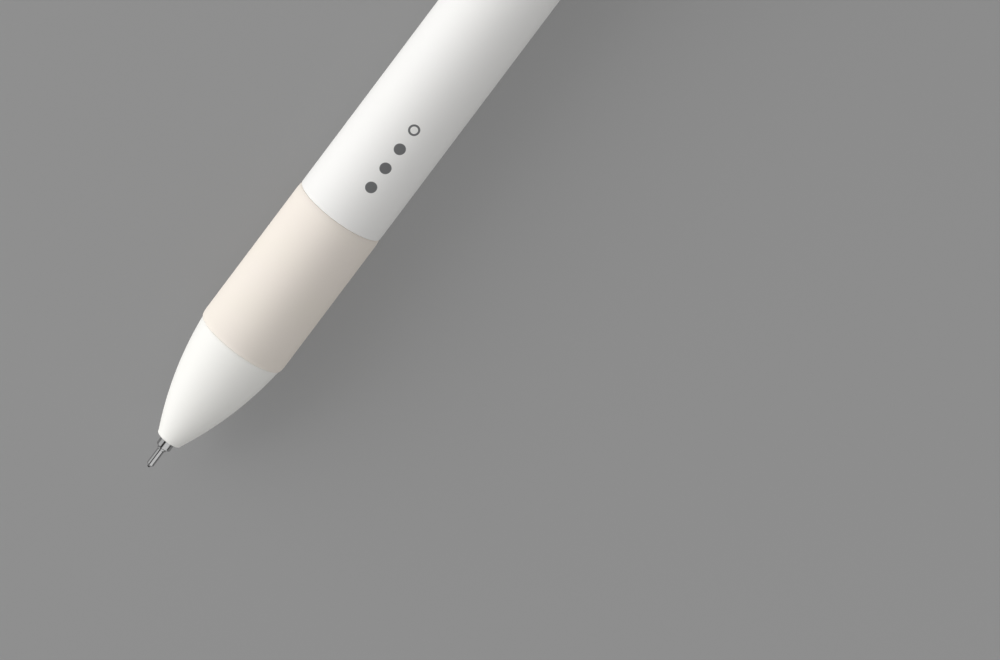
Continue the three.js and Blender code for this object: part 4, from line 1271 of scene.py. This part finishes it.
# %% The pencil unit's pieces
pencil_nose = turned("pencil_nose", tip_outline(*back_of("pencil_tip")), sides=64, shut=True)
clutch = turned("clutch", clutch_outline(*back_of("clutch_ring")), sides=48, shut=True)
collet = turned("collet", chuck_outline(*back_of("chuck")), sides=48, shut=True)
lead_stick = turned("lead_stick", lead_outline(*back_of("lead")), sides=24)
for piece in (pencil_nose, clutch, collet, lead_stick):
    settle(piece, "pencil", rise=REFILL_OFFSET)
dress(pencil_nose, steel, "pencil_point", ["pencil_tip"], sharp=28)
dress(clutch, steel, "pencil_point", ["clutch_ring"])
dress(collet, brass, "pencil_chuck", ["chuck"])
dress(lead_stick, graphite, "pencil_chuck", ["lead"])

# %% [markdown]
# The pencil's spring is the same coil, only finer, and it lies between the tip and the chuck.
# The tube behind the chuck holds the spare leads, and it has the outline of the refill tubes.

# %% Pencil spring and lead tube
FINE_WIRE, FINE_RADIUS, FINE_TURNS = 0.18, 0.69, 6
front, rear = back_of("clutch_spring")
fine_coil = coil("fine_coil", rear - front, FINE_RADIUS, FINE_WIRE, FINE_TURNS)
settle(fine_coil, "pencil", front, REFILL_OFFSET)
dress(fine_coil, wire_steel, ("pencil_point", "pencil_chuck"), ["clutch_spring"], bend=(front, rear))

front, rear = back_of("lead_tube")
lead_pipe = turned("lead_pipe", tube_outline(rear - front), sides=32, shut=True)
settle(lead_pipe, "pencil", front, REFILL_OFFSET)
bodies = "pencil_point", "pencil_slider"
pipe_bend = back_of("lead")[1], rear - PLUG_HOLD
dress(lead_pipe, inner_plastic, bodies, ["lead_tube"], bend=pipe_bend)

# %% [markdown]
# The floor is a plain sheet of pale grey paper, with the least unevenness in its tone. In the photo
# the pen barely shades its background. Wider lamps would soften the shadow, but they would flatten
# the pen's own shading too. So half of what the camera sees of the paper is a plain glow of the same
# grey, and the shadow shows by half.

# %% Floor
FLOOR_GREY, FLOOR_DARK, FLOOR_GLOW = (0.34, 0.34, 0.34, 1), (0.33, 0.33, 0.33, 1), (0.27, 0.27, 0.27, 1)
FLOOR_MATT = {"Roughness": 0.85, "Specular IOR Level": 0.1}
FLOOR_SIZE, FLOOR_PATCH, GLOW_SHARE = 30.0, 60, 0.5


def floor_paper():
    """The floor's material: matt paper, half of it a plain glow wherever it is seen or mirrored."""
    material, shader, place = new_material("studio_floor", FLOOR_MATT)
    place.feed(noise(place, FLOOR_PATCH).mix(FLOOR_GREY, FLOOR_DARK), shader.inputs["Base Color"])
    kinds = "Camera", "Glossy", "Transmission"
    camera_ray, glossy_ray, glass_ray = (
        place.node("ShaderNodeLightPath", output=f"Is {kind} Ray") for kind in kinds
    )
    seen = place.maths("MAXIMUM", camera_ray, place.maths("MAXIMUM", glossy_ray, glass_ray))
    paper = Socket(place.tree, shader.outputs["BSDF"])
    glow = place.node("ShaderNodeEmission", {}, {"Color": FLOOR_GLOW, "Strength": 1.0})
    mixed = place.node("ShaderNodeMixShader", {}, {0: seen * GLOW_SHARE, 1: paper, 2: glow})
    place.feed(mixed, place.tree.nodes["Material Output"].inputs["Surface"])
    return material


bpy.ops.object.select_all(action="DESELECT")
bpy.ops.mesh.primitive_plane_add(size=FLOOR_SIZE)
floor = bpy.context.object
floor.name = "floor"
floor.data.materials.append(floor_paper())
